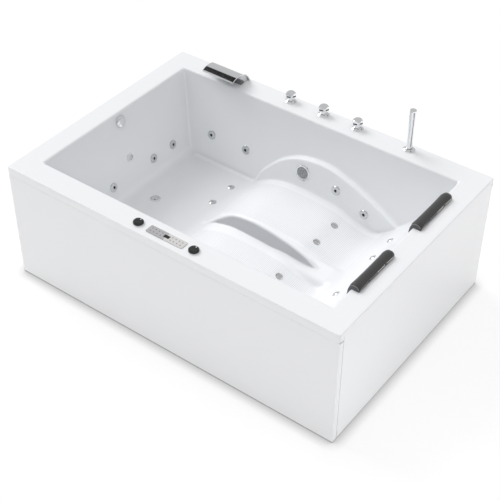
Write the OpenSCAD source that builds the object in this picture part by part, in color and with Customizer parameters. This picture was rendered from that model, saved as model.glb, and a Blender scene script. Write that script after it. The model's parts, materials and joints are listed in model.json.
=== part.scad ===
// Jetted bathtub for two, side by side, on a steel frame behind three apron panels.
// X runs towards the headrests, Y towards the wall with the taps, Z up from the ground.
// The origin is on the ground, in the middle of the tub.

/* [Tub] */
// Length of the tub
tub_l = 1800; // [1760:10:1850]
// Width of the tub
tub_w = 1250; // [1240:10:1300]
// Height of the rim above the ground
rim_h = 630; // [620:5:650]
// Thickness of the acrylic shell
shell_t = 6; // [5:0.5:7]

/* [Rim] */
// Width of the rim at the foot end
rim_foot = 96; // [92:1:104]
// Width of the rim at the head end
rim_head = 102; // [98:1:108]
// Width of the rim along both long sides
rim_side = 105; // [104:1:112]
// Depth of the lip along both long sides
lip_long = 43; // [38:1:50]
// Depth of the lip at both ends
lip_end = 25; // [22:1:32]
// Radius of the rim's inner edge
rim_r = 18; // [14:1:20]
// Radius of the rim's outer edge
edge_r = 4; // [2:0.5:5]
// Radius of the tub's upright corners
corner_r = 8; // [4:1:12]

/* [Basin] */
// Height of the foot well's floor above the ground
floor_z = 203; // [200:1:210]
// Lean of the foot-end wall from upright, in degrees
foot_lean = 13.4; // [12:0.1:14]
// Lean of the two long walls from upright, in degrees
side_lean = 12; // [11:0.1:13]
// Radius between the floor and the foot-end wall
foot_fillet = 50; // [40:1:60]
// Radius between the floor and the long walls
side_fillet = 20; // [12:1:28]
// Length of the foot well, from the rim's edge to the seats
well_l = 537; // [520:1:550]

/* [Armrests] */
// Distance of an armrest's face from the tub's middle, at the floor
arm_y = 404; // [400:1:410]
// Lean of an armrest's face from upright, in degrees
arm_lean = 6.8; // [6:0.1:8]
// Thickness of the divider between the seats, at its middle
divider_w = 60; // [50:1:66]
// Width of the ridge between the two seat pads
ridge_w = 132; // [120:1:150]

/* [Jets] */
// Distance of the inner jets from the tub's middle
jet_inner_y = 150; // [145:1:155]
// Distance of the outer jets from the tub's middle
jet_outer_y = 300; // [290:1:305]
// Height of the foot-end wall's jets above the basin floor
foot_jet_h = 102; // [95:1:110]
// Height of the long walls' jets above the basin floor
wall_jet_h = 140; // [135:1:150]
// Distance of the first long-wall jet from the rim's foot edge
wall_jet_a = 233; // [228:1:238]
// Distance of the second long-wall jet from the rim's foot edge
wall_jet_b = 450; // [445:1:455]
// Distance of the floor jets before the seats
floor_row_gap = 70; // [66:1:76]
// Outer diameter of a water jet's ring
jet_d = 48; // [46:1:52]
// Diameter of a water jet's ball nozzle
ball_d = 26; // [24:0.5:27]
// Outer diameter of a small jet
micro_d = 36; // [34:1:40]

/* [Drain and suction] */
// Distance of the drain from the rim's foot edge
drain_run = 222; // [215:1:230]
// Outer diameter of the drain's flange
drain_d = 54; // [50:1:60]
// Height of the overflow above the basin floor
overflow_h = 380; // [375:1:384]
// Diameter of the overflow knob
overflow_d = 60; // [56:1:64]
// Height of the lamp above the basin floor
lamp_h = 187; // [180:1:195]
// Outer diameter of the lamp
lamp_d = 42; // [40:1:46]
// Outer diameter of the suction cover
suction_d = 80; // [76:1:84]

/* [Taps] */
// Distance of the taps and the hand shower from the tub's back edge
tap_inset = 43; // [41:1:45]
// Distance between two taps
tap_pitch = 192; // [186:1:198]
// Place of the middle tap along the tub
tap_x = 8; // [0:1:14]
// Diameter of a tap's flange
tap_d = 56; // [52:1:60]
// Width of a tap's square cap
cap_w = 40; // [38:1:44]
// Height of a tap above the rim
tap_h = 50; // [46:1:56]
// Place of the hand shower along the tub
handset_x = 482; // [474:1:490]
// Height of the hand shower above the rim
handset_h = 217; // [200:1:230]
// Diameter of the hand shower at its top
handset_d = 33; // [32:0.5:35]
// Middle of the spout along the tub, from the rim's foot edge
spout_run = 255; // [245:1:265]
// Width of the spout
spout_w = 188; // [180:1:196]
// Outer radius of the spout's arched sheet
spout_r = 99; // [96:1:102]

/* [Controls] */
// Distance of the controls from the tub's front edge
control_inset = 52; // [50:1:54]
// Place of the left air control along the tub
air_left_x = -162; // [-168:1:-156]
// Place of the right air control along the tub
air_right_x = 140; // [134:1:146]
// Diameter of an air control's knob
air_d = 47; // [44:1:50]
// Length of the control panel
panel_l = 196; // [190:1:204]
// Width of the control panel
panel_w = 46; // [42:1:48]
// Middle of the control panel along the tub
panel_x = -7; // [-9:1:-4]

/* [Headrests] */
// Distance of each headrest's middle from the tub's middle
headrest_y = 240; // [232:1:248]
// Length of a headrest
headrest_l = 272; // [260:1:284]
// How far a headrest reaches down the backrest
flap_h = 57; // [50:1:62]
// How far a headrest reaches over the rim
saddle_l = 28; // [24:1:32]
// Thickness of a headrest's padding over the rim
pad_h = 28; // [24:1:32]

/* [Frame] */
// Width of the frame's square tubes
tube = 25; // [22:1:27]
// Height of the lower frame above the ground
foot_h = 60; // [56:1:66]
// Distance of the long rails from the tub's outer face
rail_side = 70; // [70:1:71]
// Distance of the end rails from the tub's outer face
rail_end = 30; // [28:1:32]
// Thickness of the boards
board_t = 16; // [14:1:18]

/* [Panels] */
// Thickness of the apron panels
apron_t = 5; // [4:0.5:6]
// How far the panels' faces lie behind the lip
apron_inset = 2; // [1:0.5:3]
// Width of the shadow gap above and beside the panels
shadow_gap = 3; // [2:0.5:4]
// Depth of the front panel's returned ends
apron_return = 28; // [24:1:32]

/* [Hidden] */

$fn = 64;
over = 1;
seat_gap = 0.3;
run_gap = 0.05;
loose_gap = 0.5;

// Places along the tub
foot_edge = rim_foot - tub_l / 2;
head_edge = tub_l / 2 - rim_head;
side_edge = tub_w / 2 - rim_side;
foot_top = foot_edge + rim_r * tan((90 - foot_lean) / 2);
side_top = side_edge - rim_r * tan((90 - side_lean) / 2);
seat_x = foot_edge + well_l;
seat_run = head_edge - seat_x;
basin_h = rim_h - floor_z;

// The seat and backrest seen from the side: shares of the seats' run and of the basin's depth
seat_share = [[0, 0], [0.039, 0.070], [0.084, 0.129], [0.167, 0.190], [0.251, 0.206],
    [0.362, 0.199], [0.473, 0.169], [0.541, 0.110], [0.613, 0.059], [0.667, 0.054],
    [0.715, 0.110], [0.783, 0.250], [0.822, 0.335], [0.861, 0.450], [0.908, 0.607],
    [0.946, 0.742], [0.975, 0.864], [0.988, 1]];
arm_share = [[-0.008, -0.02], [0.022, 0.155], [0.060, 0.267], [0.132, 0.438], [0.234, 0.560],
    [0.368, 0.593], [0.481, 0.532], [0.625, 0.398], [0.773, 0.211], [0.81, 0.16]];
divider_share = [[0.026, 0.07], [0.100, 0.225], [0.170, 0.316], [0.257, 0.347], [0.333, 0.343],
    [0.410, 0.318], [0.482, 0.282], [0.542, 0.236], [0.587, 0.188], [0.630, 0.10]];
divider_span_share = [0.028, 0.627];
ridge_share = [[0.44, 0.177], [0.55, 0.150], [0.64, 0.133], [0.722, 0.122]];
arm_jet_share = [[0.440, 0.363], [0.598, 0.220]];
suction_share = [0.257, 0.405];
seat_row_share = 0.514;
back_row_share = 0.798;

// A smooth line through a list of points
function blend(a, b, c, d, t) =
    (2 * b + (c - a) * t + (2 * a - 5 * b + 4 * c - d) * t * t + (3 * b - a - 3 * c + d) * t * t * t) / 2;
function smooth(points, steps) = concat(
    [for (i = [0 : len(points) - 2])
        for (s = [0 : steps - 1])
            blend(points[max(i - 1, 0)], points[i], points[i + 1], points[min(i + 2, len(points) - 1)],
                s / steps)],
    [points[len(points) - 1]]);
function in_basin(shares) = [for (p = shares) [seat_x + p.x * seat_run, floor_z + p.y * basin_h]];
function below_basin(shares) = [for (p = [shares[len(shares) - 1], shares[0]])
    [seat_x + p.x * seat_run, floor_z / 2]];

seat_line = smooth(in_basin(seat_share), 3);
slope_step = seat_run / 60;
function seat_z(x) = lookup(x, seat_line);
function seat_slope(x) = atan((seat_z(x + slope_step) - seat_z(x - slope_step)) / (2 * slope_step));
function back_x(z) = lookup(z, [for (p = seat_line) if (p.x > seat_x + seat_run * 0.7) [p.y, p.x]]);
function foot_wall_x(z) = foot_top + (rim_h - z) * tan(foot_lean);
function long_wall_y(z) = side_top - (rim_h - z) * tan(side_lean);
function arm_face_y(z) = arm_y + (z - floor_z) * tan(arm_lean);

// Where the jets sit
jet_rows = [-jet_outer_y, -jet_inner_y, jet_inner_y, jet_outer_y];
foot_jet_z = floor_z + foot_jet_h;
wall_jet_z = floor_z + wall_jet_h;
wall_jet_x = [foot_edge + wall_jet_a, foot_edge + wall_jet_b];
arm_jets = in_basin(arm_jet_share);
suction_at = in_basin([suction_share])[0];
micro_row_x = [seat_x - floor_row_gap, seat_x + seat_row_share * seat_run,
    seat_x + back_row_share * seat_run];
function micro_z(row) = row == 0 ? floor_z : seat_z(micro_row_x[row]);
function micro_turn(row) = row == 0 ? 0 : seat_slope(micro_row_x[row]);

// Where the pipes run behind the basin
pipe_stand = 54;
pipe_r = 20;
pipe_over_floor = 32;
air_pipe_r = 8;
air_over_floor = 227;
row_pipe_r = 9;
row_under_floor = 53;
fitting_t = 3;
pipe_y = long_wall_y(wall_jet_z) + pipe_stand * cos(side_lean);
pipe_x = foot_wall_x(foot_jet_z) - pipe_stand * cos(foot_lean);
pipe_z = floor_z + pipe_over_floor;
air_z = floor_z + air_over_floor;
stub_l = 28;
back_row_depth = 40;
micro_depth = [row_under_floor, (micro_z(1) - pipe_z) / cos(micro_turn(1)), back_row_depth];
function row_pipe_x(row) = micro_row_x[row] + sin(micro_turn(row)) * micro_depth[row];
function row_pipe_z(row) = micro_z(row) - cos(micro_turn(row)) * micro_depth[row];

// Places of the rim's fittings
tap_y = tub_w / 2 - tap_inset;
control_y = control_inset - tub_w / 2;
tap_places = [tap_x - tap_pitch, tap_x, tap_x + tap_pitch];
spout_x = foot_edge + spout_run;
drain_x = foot_edge + drain_run;
overflow_z = floor_z + overflow_h;
lamp_z = floor_z + lamp_h;

// Water jet, along its own axis from the wall's face
ring_h = 4;
ball_sink = 6;
ball_r = ball_d / 2;
ball_gap = 0.4;
ring_wall = 3;
ring_tube_r = ball_r + ball_gap + ring_wall;
ring_tube_l = 24;
jet_hole_r = ring_tube_r + loose_gap;
jet_body_r = 20;
jet_nut_r = 28;
jet_nut_h = 8;
jet_body_tail = 15;
jet_bore_r = ring_tube_r + seat_gap;
stub_r = 10;
nozzle_r = 5;

// Small jet
micro_h = 4;
micro_tube_r = 9;
micro_hole_r = micro_tube_r + seat_gap;
micro_nut_r = 15;
micro_nut_h = 6;
micro_slot_w = 5;
micro_slot_l = 20;

// Frame
rail_y = tub_w / 2 - rail_side - tube / 2;
rail_x = tub_l / 2 - rail_end - tube / 2;
rail_z = rim_h - shell_t - tube;
mid_posts = [(wall_jet_x[0] + wall_jet_x[1]) / 2, (suction_at.x + arm_jets[0].x) / 2];
cross_share = [-0.132, -0.018, 0.426, 0.504];
cross_x = [for (s = cross_share) seat_x + s * tub_l];
stand_y = 225;
stand_w = 30;
board_end_gap = 12;
board_y = long_wall_y(floor_z) - side_fillet - shell_t;
board_l0 = foot_wall_x(floor_z) + foot_fillet;
foot_r = 20;
foot_pad_h = 12;
screw_r = 6;
nut_r = 11;
nut_h = 10;
foot_clear = foot_pad_h / 3;

// Pump, heater and control box
equip_top = foot_h + tube + board_t;
pump_set = 38;
pump_lift = 89;
pump_x = head_edge - pump_set;
pump_z = equip_top + pump_lift;
volute_r = 78;
volute_w = 70;
pump_y = 55;
motor_r = 68;
motor_l = 250;
cowl_l = 46;
shaft_r = 9;
impeller_r = 54;
impeller_w = 20;
fan_r = 54;
fan_w = 12;
chamber_gap = 3;
suction_r = 22;
suction_set = 47;
heater_r = 32;
heater_l = 240;
union_r = 38;
union_l = 24;
heater_z = pump_z + volute_r + union_l + 2 * pipe_r;
heater_y = pump_y + volute_w;
suction_y = suction_set + arm_y;
box_l = 200;
box_w = 130;
box_h = 90;

// Basin space, seen along Y; grow swells it by the shell's thickness
module long_section(grow) {
    offset(delta = grow)
    offset(r = foot_fillet) offset(delta = -foot_fillet)
    offset(r = -rim_r) offset(delta = rim_r)
    union() {
        polygon(concat(
            [[foot_wall_x(rim_h + over), rim_h + over], [foot_wall_x(floor_z), floor_z]],
            seat_line,
            [[seat_line[len(seat_line) - 1].x, rim_h + over]]));
        translate([-tub_l, rim_h]) square([2 * tub_l, rim_h]);
    }
}

// Basin space, seen along X
module cross_section(grow) {
    offset(delta = grow)
    offset(r = side_fillet) offset(delta = -side_fillet)
    offset(r = -rim_r) offset(delta = rim_r)
    union() {
        polygon([[-long_wall_y(rim_h + over), rim_h + over], [-long_wall_y(floor_z), floor_z],
            [long_wall_y(floor_z), floor_z], [long_wall_y(rim_h + over), rim_h + over]]);
        translate([-tub_w, rim_h]) square([2 * tub_w, rim_h]);
    }
}

module along_y(length) {
    rotate([90, 0, 0]) linear_extrude(height = length, center = true) children();
}

module along_x(length) {
    rotate([90, 0, 90]) linear_extrude(height = length, center = true) children();
}

module basin_space(grow) {
    intersection() {
        along_y(2 * tub_w) long_section(grow);
        along_x(2 * tub_l) cross_section(grow);
    }
}

// Armrests, divider and ridge, which the sheet rises over; shrink leaves the hollow under the sheet
module arm_form(shrink) {
    intersection() {
        along_y(tub_w)
            offset(delta = -shrink)
            polygon(concat(smooth(in_basin(arm_share), 3), below_basin(arm_share)));
        along_x(2 * tub_l)
            polygon([[arm_face_y(0) + shrink, 0], [arm_face_y(rim_h) + shrink, rim_h],
                [tub_w / 2 - shell_t, rim_h], [tub_w / 2 - shell_t, 0]]);
    }
}

module divider_form(shrink) {
    span = (divider_span_share[1] - divider_span_share[0]) * seat_run;
    mid = seat_x + (divider_span_share[0] + divider_span_share[1]) / 2 * seat_run;
    arc_r = (span * span / 4 + divider_w * divider_w / 4) / divider_w;
    intersection() {
        along_y(tub_w)
            offset(delta = -shrink)
            polygon(concat(smooth(in_basin(divider_share), 3), below_basin(divider_share)));
        translate([mid, 0, 0]) linear_extrude(height = rim_h)
            intersection() {
                translate([0, arc_r - divider_w / 2]) circle(r = arc_r - shrink, $fn = 256);
                translate([0, divider_w / 2 - arc_r]) circle(r = arc_r - shrink, $fn = 256);
            }
    }
}

module ridge_form(shrink) {
    intersection() {
        along_y(ridge_w - 2 * shrink)
            offset(delta = -shrink)
            polygon(concat(in_basin(ridge_share), below_basin(ridge_share)));
        translate([0, 0, floor_z / 2]) cube([2 * tub_l, tub_w, rim_h], center = true);
    }
}

module raised_forms(shrink) {
    arm_form(shrink);
    mirror([0, 1, 0]) arm_form(shrink);
    divider_form(shrink);
    ridge_form(shrink);
}

module round_box_section(w, h, r) {
    offset(r = r) offset(delta = -r) square([w, h], center = true);
}

// The tub's outer block, with its rounded corners and top edges
module tub_block() {
    intersection() {
        linear_extrude(height = rim_h) round_box_section(tub_l, tub_w, corner_r);
        translate([0, 0, rim_h / 2]) along_y(2 * tub_w) round_box_section(tub_l, rim_h, edge_r);
        translate([0, 0, rim_h / 2]) along_x(2 * tub_l) round_box_section(tub_w, rim_h, edge_r);
    }
}

// Places on the basin's walls; each turns +Z out of the wall, into the basin
module on_foot_wall(y, z) {
    translate([foot_wall_x(z), y, z]) rotate([0, 90 - foot_lean, 0]) children();
}

module on_long_wall(side, x, z) {
    mirror([0, side < 0 ? 1 : 0, 0])
        translate([x, long_wall_y(z), z]) rotate([90 - side_lean, 0, 0]) children();
}

module on_arm(side, x, z) {
    mirror([0, side < 0 ? 1 : 0, 0])
        translate([x, arm_face_y(z), z]) rotate([90 - arm_lean, 0, 0]) children();
}

module on_seat(row, y) {
    translate([micro_row_x[row], y, micro_z(row)]) rotate([0, -micro_turn(row), 0]) children();
}

// Water jets: 0 to 3 at the foot end, 4 to 7 in the long walls, 8 to 11 in the armrests
jet_count = 12;
function jet_side(i) = i % 4 < 2 ? 1 : -1;
function jet_place(i) =
    i < 4 ? [foot_wall_x(foot_jet_z), jet_rows[i], foot_jet_z] :
    i < 8 ? [wall_jet_x[i % 2], jet_side(i) * long_wall_y(wall_jet_z), wall_jet_z] :
    [arm_jets[i % 2].x, jet_side(i) * arm_face_y(arm_jets[i % 2].y), arm_jets[i % 2].y];
function jet_lean(i) = i < 4 ? foot_lean : i < 8 ? side_lean : arm_lean;
function jet_depth(i) =
    (i < 4 ? jet_place(i).x - pipe_x : pipe_y - abs(jet_place(i).y)) / cos(jet_lean(i));
function jet_port(i) = [
    i < 4 ? pipe_x : jet_place(i).x,
    i < 4 ? jet_place(i).y : jet_side(i) * pipe_y,
    jet_place(i).z - jet_depth(i) * sin(jet_lean(i))];

module at_jet(i) {
    if (i < 4)
        on_foot_wall(jet_rows[i], foot_jet_z) children();
    else if (i < 8)
        on_long_wall(jet_side(i), wall_jet_x[i % 2], wall_jet_z) children();
    else
        on_arm(jet_side(i), arm_jets[i % 2].x, arm_jets[i % 2].y) children();
}

// Holes that the fittings pass through
panel_cut_l = panel_l * 0.88;
panel_cut_w = panel_w * 0.6;
tap_hole_r = 14.5;
holder_r = 20;
air_tube_r = 14;
spout_pipe_r = 14;
peg_r = 4;
peg_x = head_edge + saddle_l * 0.46;
peg_pitch = headrest_l / 2;
flange_lap = 4;
drain_tube_r = drain_d / 2 - flange_lap;
overflow_tube_r = overflow_d / 2 - 1.5 * flange_lap;
lamp_tube_r = lamp_d / 2 - 0.75 * flange_lap;
suction_tube_r = suction_d / 2 - flange_lap;
cut_l = shell_t * 6;

module hole(r) {
    cylinder(r = r, h = cut_l, center = true);
}

module rim_at(x, y) {
    translate([x, y, rim_h]) children();
}

module shell_holes() {
    for (i = [0 : jet_count - 1]) at_jet(i) hole(jet_hole_r);
    for (row = [0 : 2]) for (y = jet_rows) on_seat(row, y) hole(micro_hole_r);
    for (row = [1, 2]) for (y = jet_rows) on_seat(row, y) cylinder(r = micro_d / 2 + seat_gap, h = shell_t);
    on_foot_wall(0, overflow_z) hole(overflow_tube_r + seat_gap);
    on_foot_wall(0, lamp_z) hole(lamp_tube_r + seat_gap);
    on_arm(1, suction_at.x, suction_at.y) hole(suction_tube_r + seat_gap);
    translate([drain_x, 0, floor_z]) hole(drain_tube_r + seat_gap);
    for (x = tap_places) rim_at(x, tap_y) hole(tap_hole_r);
    rim_at(handset_x, tap_y) hole(holder_r + seat_gap);
    for (x = [air_left_x, air_right_x]) rim_at(x, control_y) hole(air_tube_r + seat_gap);
    rim_at(panel_x, control_y) cube([panel_cut_l, panel_cut_w, cut_l], center = true);
    rim_at(spout_x, tap_y) hole(spout_pipe_r + seat_gap);
    for (side = [-1, 1]) for (end = [-1, 1])
        rim_at(peg_x, side * headrest_y + end * peg_pitch / 2) hole(peg_r + run_gap);
}

// Acrylic shell: basin, armrests, divider and rim in one formed sheet, with its lip
module shell() {
    color("white") difference() {
        union() {
            difference() {
                intersection() {
                    tub_block();
                    basin_space(shell_t);
                }
                raised_forms(shell_t);
            }
            intersection() {
                tub_block();
                union() {
                    for (side = [-1, 1]) {
                        translate([0, side * (tub_w - shell_t) / 2, rim_h - lip_long / 2])
                            cube([tub_l, shell_t, lip_long], center = true);
                        translate([side * (tub_l - shell_t) / 2, 0, rim_h - lip_end / 2])
                            cube([shell_t, tub_w, lip_end], center = true);
                    }
                }
            }
        }
        difference() {
            basin_space(0);
            raised_forms(0);
        }
        shell_holes();
    }
}

// Board bonded under the foot well's floor
module base_board() {
    top = floor_z - shell_t;
    color("burlywood") difference() {
        translate([board_l0, -board_y, top - board_t])
            cube([seat_x - board_end_gap - board_l0, 2 * board_y, board_t]);
        translate([drain_x, 0, top])
            cylinder(r = drain_nut_r + flange_lap, h = 3 * board_t, center = true);
        for (y = jet_rows)
            translate([micro_row_x[0], y, top])
            cylinder(r = micro_nut_r + over, h = 3 * board_t, center = true);
    }
}

// Board that carries the pump and the control box
module equipment_board() {
    x0 = cross_x[3] - tube / 2;
    color("burlywood")
        translate([x0, tube - rail_y + tube, foot_h + tube])
        cube([rail_x + tube / 2 - x0, 2 * rail_y - 4 * tube, board_t]);
}

// An apron lies with its length along X, its face towards -Y and its outer foot corner at the origin.
// It is a flat sheet with strips bonded behind it: two uprights, a foot strip and a top strip whose
// upstand hooks behind the lip.
apron_hook = shell_t + seat_gap - apron_inset;
hook_share = 0.42;

module apron(l, lip, depth) {
    top = rim_h - lip - shadow_gap;
    behind = apron_t + seat_gap;
    cube([l, apron_t, top]);
    for (x = [0, l - apron_t])
        translate([x, behind, 0]) cube([apron_t, depth - behind, top - behind]);
    translate([behind, behind, 0]) cube([l - 2 * behind, depth - behind, apron_t]);
    translate([apron_t, behind, top - apron_t]) {
        cube([l - 2 * apron_t, apron_hook, apron_t]);
        translate([0, apron_hook - seat_gap, 0])
            cube([l - 2 * apron_t, apron_t, apron_t + shadow_gap + lip * hook_share]);
    }
}

module front_panel() {
    l = tub_l - 2 * apron_inset;
    color("whitesmoke") translate([-l / 2, apron_inset - tub_w / 2, 0]) {
        apron(l, lip_long, apron_return);
        for (x = [0, l - apron_t])
            translate([x, apron_hook, rim_h - lip_long - shadow_gap + seat_gap])
                cube([apron_t, apron_return - apron_hook, lip_long - lip_end - seat_gap]);
    }
}

end_panel_y0 = apron_inset + apron_return + shadow_gap - tub_w / 2;
end_panel_depth = 20;

module end_panel() {
    w = tub_w / 2 - shell_t - seat_gap - end_panel_y0;
    color("whitesmoke") translate([apron_inset - tub_l / 2, end_panel_y0 + w, 0]) rotate([0, 0, -90])
        apron(w, lip_end, end_panel_depth);
}

module left_panel() {
    end_panel();
}

module right_panel() {
    mirror([1, 0, 0]) end_panel();
}

// A rectangle of square tubes, mitred at its corners
module tube_ring(z) {
    translate([0, 0, z]) linear_extrude(height = tube) difference() {
        square([2 * rail_x + tube, 2 * rail_y + tube], center = true);
        square([2 * rail_x - tube, 2 * rail_y - tube], center = true);
    }
}

foot_places = concat(
    [for (sx = [-1, 1]) for (sy = [-1, 1]) [sx * rail_x, sy * rail_y]],
    [for (x = mid_posts) for (sy = [-1, 1]) [x, sy * rail_y]]);

module upper_frame() {
    color("dimgray") {
        tube_ring(rail_z);
        for (p = foot_places)
            translate([p.x - tube / 2, p.y - tube / 2, foot_h + tube])
            cube([tube, tube, rail_z - foot_h - tube + over]);
    }
}

module lower_frame() {
    color("dimgray") difference() {
        union() {
            tube_ring(foot_h);
            for (x = concat(cross_x, [mid_posts[1]]))
                translate([x, 0, foot_h + tube / 2]) cube([tube, 2 * rail_y, tube], center = true);
        }
        for (p = foot_places)
            translate([p.x, p.y, foot_h - over]) cylinder(r = screw_r + run_gap, h = tube + 2 * over);
    }
}

// Stands between the cross tubes and the shell
module shell_supports() {
    color("dimgray") {
        for (x = [cross_x[0], cross_x[1]]) for (side = [-1, 1])
            translate([x - stand_w / 2, side * stand_y - stand_w / 2, foot_h + tube])
            cube([stand_w, stand_w, floor_z - shell_t - board_t - foot_h - tube]);
        for (x = [mid_posts[1], cross_x[2]]) for (side = [-1, 1])
            difference() {
                translate([x - stand_w / 2, side * stand_y - stand_w / 2, foot_h + tube])
                    cube([stand_w, stand_w, seat_z(x) - foot_h - tube]);
                along_y(tub_w) long_section(shell_t + seat_gap);
            }
    }
}

module foot_screws() {
    color("silver")
    for (p = foot_places) {
        translate([p.x, p.y, foot_clear])
            cylinder(r = screw_r, h = foot_h + tube - foot_clear);
        translate([p.x, p.y, foot_h - nut_h]) difference() {
            cylinder(r = nut_r, h = nut_h, $fn = 6);
            translate([0, 0, -over]) cylinder(r = screw_r + run_gap, h = nut_h + 2 * over);
        }
    }
}

module foot_pads() {
    color("black")
    for (p = foot_places)
        translate([p.x, p.y, 0]) rotate_extrude() polygon([[0, 0], [foot_r, 0], [foot_r, foot_pad_h / 3],
            [nut_r, foot_pad_h], [screw_r + seat_gap, foot_pad_h], [screw_r + seat_gap, foot_clear],
            [0, foot_clear]]);
}

// Drain: flange, threaded tube with a stem guide, nut and outlet cup
drain_nut_r = 34;
drain_nut_h = 10;
drain_flange_h = 3;
drain_tail = 50;
drain_wall = 3;
plug_r = drain_tube_r - drain_wall - seat_gap;
stem_r = 3;
plug_lift = 10;

module drain_body() {
    deep = shell_t + board_t + drain_tail;
    color("silver") translate([drain_x, 0, floor_z]) difference() {
        union() {
            rotate_extrude() polygon([[0, 0], [drain_d / 2, 0], [drain_d / 2, drain_flange_h / 3],
                [drain_d / 2 - drain_flange_h, drain_flange_h], [0, drain_flange_h]]);
            translate([0, 0, -deep]) cylinder(r = drain_tube_r, h = deep);
            translate([0, 0, -shell_t - drain_nut_h]) cylinder(r = drain_nut_r, h = drain_nut_h);
        }
        difference() {
            translate([0, 0, drain_wall - deep]) cylinder(r = drain_tube_r - drain_wall, h = 2 * deep);
            translate([0, 0, -shell_t - drain_nut_h]) difference() {
                union() {
                    cube([2 * drain_tube_r, 2 * drain_wall, drain_wall], center = true);
                    cube([2 * drain_wall, 2 * drain_tube_r, drain_wall], center = true);
                    cylinder(r = stem_r + drain_wall, h = 2 * drain_wall, center = true);
                }
                cylinder(r = stem_r + run_gap, h = 4 * drain_wall, center = true);
            }
        }
        translate([0, 0, -deep + drain_tail / 2]) rotate([-90, 0, 0])
            cylinder(r = trap_r - drain_wall, h = 2 * drain_tube_r);
    }
}

module drain_plug() {
    color("silver") translate([drain_x, 0, floor_z]) {
        rotate_extrude() polygon([[0, -drain_wall], [plug_r, -drain_wall], [plug_r, drain_flange_h / 2],
            [plug_r - drain_wall, drain_flange_h + drain_wall / 2],
            [plug_r / 2, drain_flange_h + drain_wall],
            [0, drain_flange_h + drain_wall + seat_gap]]);
        translate([0, 0, -shell_t - board_t - plug_lift])
            cylinder(r = stem_r, h = shell_t + board_t + plug_lift);
    }
}

// Trap and waste pipe: under the drain, then back towards the wall
trap_r = 20;
trap_z = floor_z - shell_t - board_t - drain_tail / 2;
waste_inset = 10;
waste_end = tub_w / 2 - waste_inset;
waste_tail_l = 49;
groove_l = 3;
groove_d = 1.5;

// A pipe from one point towards another, between two distances from the first
module pipe_between(from, to, r, start, end) {
    v = to - from;
    if (end > start)
        translate(from) rotate([0, acos(v.z / norm(v)), atan2(v.y, v.x)])
            translate([0, 0, start]) cylinder(r = r, h = end - start);
}

// Straight pipes with an elbow at each turn: a ball with two sockets, a glue gap from the pipes
module pipe_run(points, r) {
    last = len(points) - 1;
    socket = r + 2 * fitting_t;
    for (i = [0 : last - 1]) {
        reach = norm(points[i + 1] - points[i]);
        pipe_between(points[i], points[i + 1], r, i > 0 ? socket + seat_gap : 0,
            i < last - 1 ? reach - socket - seat_gap : reach);
    }
    for (i = [1 : 1 : last - 1]) {
        translate(points[i]) rotate([45, 35, 0]) sphere(r = r + fitting_t);
        for (to = [points[i - 1], points[i + 1]]) pipe_between(points[i], to, r, 0, socket);
    }
}

module trap() {
    u_low = trap_z - 2 * trap_r + 2 * fitting_t;
    collar_end = waste_end - waste_tail_l - groove_l;
    difference() {
        union() {
            pipe_run([[drain_x, drain_tube_r + seat_gap, trap_z], [drain_x, 4 * trap_r, trap_z],
                [drain_x, 4 * trap_r, u_low], [drain_x, 8 * trap_r, u_low], [drain_x, 8 * trap_r, trap_z],
                [drain_x, collar_end - trap_r / 2, trap_z]], trap_r);
            translate([drain_x, collar_end, trap_z]) rotate([90, 0, 0])
                cylinder(r = trap_r + fitting_t, h = trap_r);
            translate([drain_x, waste_end - waste_tail_l / 2, trap_z]) rotate([90, 0, 0])
                cylinder(r = trap_r - groove_d, h = waste_tail_l);
            translate([drain_x, waste_end, trap_z]) rotate([90, 0, 0])
                cylinder(r = trap_r, h = waste_tail_l);
        }
        translate([drain_x, waste_end + over, trap_z]) rotate([90, 0, 0])
            cylinder(r = trap_r - drain_wall, h = 3 * trap_r);
    }
}

// Overflow: body behind the wall, knob in the basin, pipe down to the trap
overflow_stand = 41;
overflow_body_r = overflow_d / 2 - flange_lap;
overflow_pipe_r = 16;
overflow_x = foot_wall_x(overflow_z) - overflow_stand * cos(foot_lean);
overflow_port_z = overflow_z - overflow_stand * sin(foot_lean);
knob_gap = 1;
knob_t = 12;
knob_stem_r = 5;

module overflow_body() {
    color("lightgray") difference() {
        union() {
            on_foot_wall(0, overflow_z) {
                translate([0, 0, -overflow_stand - overflow_pipe_r / 2])
                    cylinder(r = overflow_body_r, h = overflow_stand + overflow_pipe_r / 2 - shell_t);
                translate([0, 0, -shell_t - over]) cylinder(r = overflow_tube_r, h = shell_t + over);
                cylinder(r = overflow_d / 2 - knob_gap, h = knob_gap);
            }
            translate([overflow_x, 0, overflow_port_z - overflow_body_r - fitting_t])
                cylinder(r = overflow_pipe_r + fitting_t, h = overflow_body_r);
        }
        on_foot_wall(0, overflow_z)
            translate([0, 0, -overflow_stand]) cylinder(r = knob_stem_r + run_gap, h = 2 * overflow_stand);
    }
}

module overflow_knob() {
    top = knob_gap + seat_gap;
    color("silver") on_foot_wall(0, overflow_z) difference() {
        union() {
            rotate_extrude() polygon([[0, top], [overflow_d / 2, top], [overflow_d / 2, top + knob_t / 2],
                [overflow_d / 2 - knob_t / 4, top + knob_t * 0.8], [overflow_d / 4, top + knob_t],
                [0, top + knob_t]]);
            translate([0, 0, -overflow_stand / 2])
                cylinder(r = knob_stem_r, h = overflow_stand / 2 + 2 * top);
        }
        for (a = [0 : 120 : 240]) rotate([0, 0, a])
            translate([overflow_d * 0.58, 0, top + knob_t / 3]) cylinder(r = overflow_d / 5, h = knob_t);
    }
}

module waste_pipes() {
    color("lightgray") {
        trap();
        pipe_run([[overflow_x, 0, overflow_port_z - overflow_body_r - fitting_t - seat_gap],
            [overflow_x, 0, trap_z], [drain_x - drain_tube_r - seat_gap, 0, trap_z]], overflow_pipe_r);
    }
}

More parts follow.
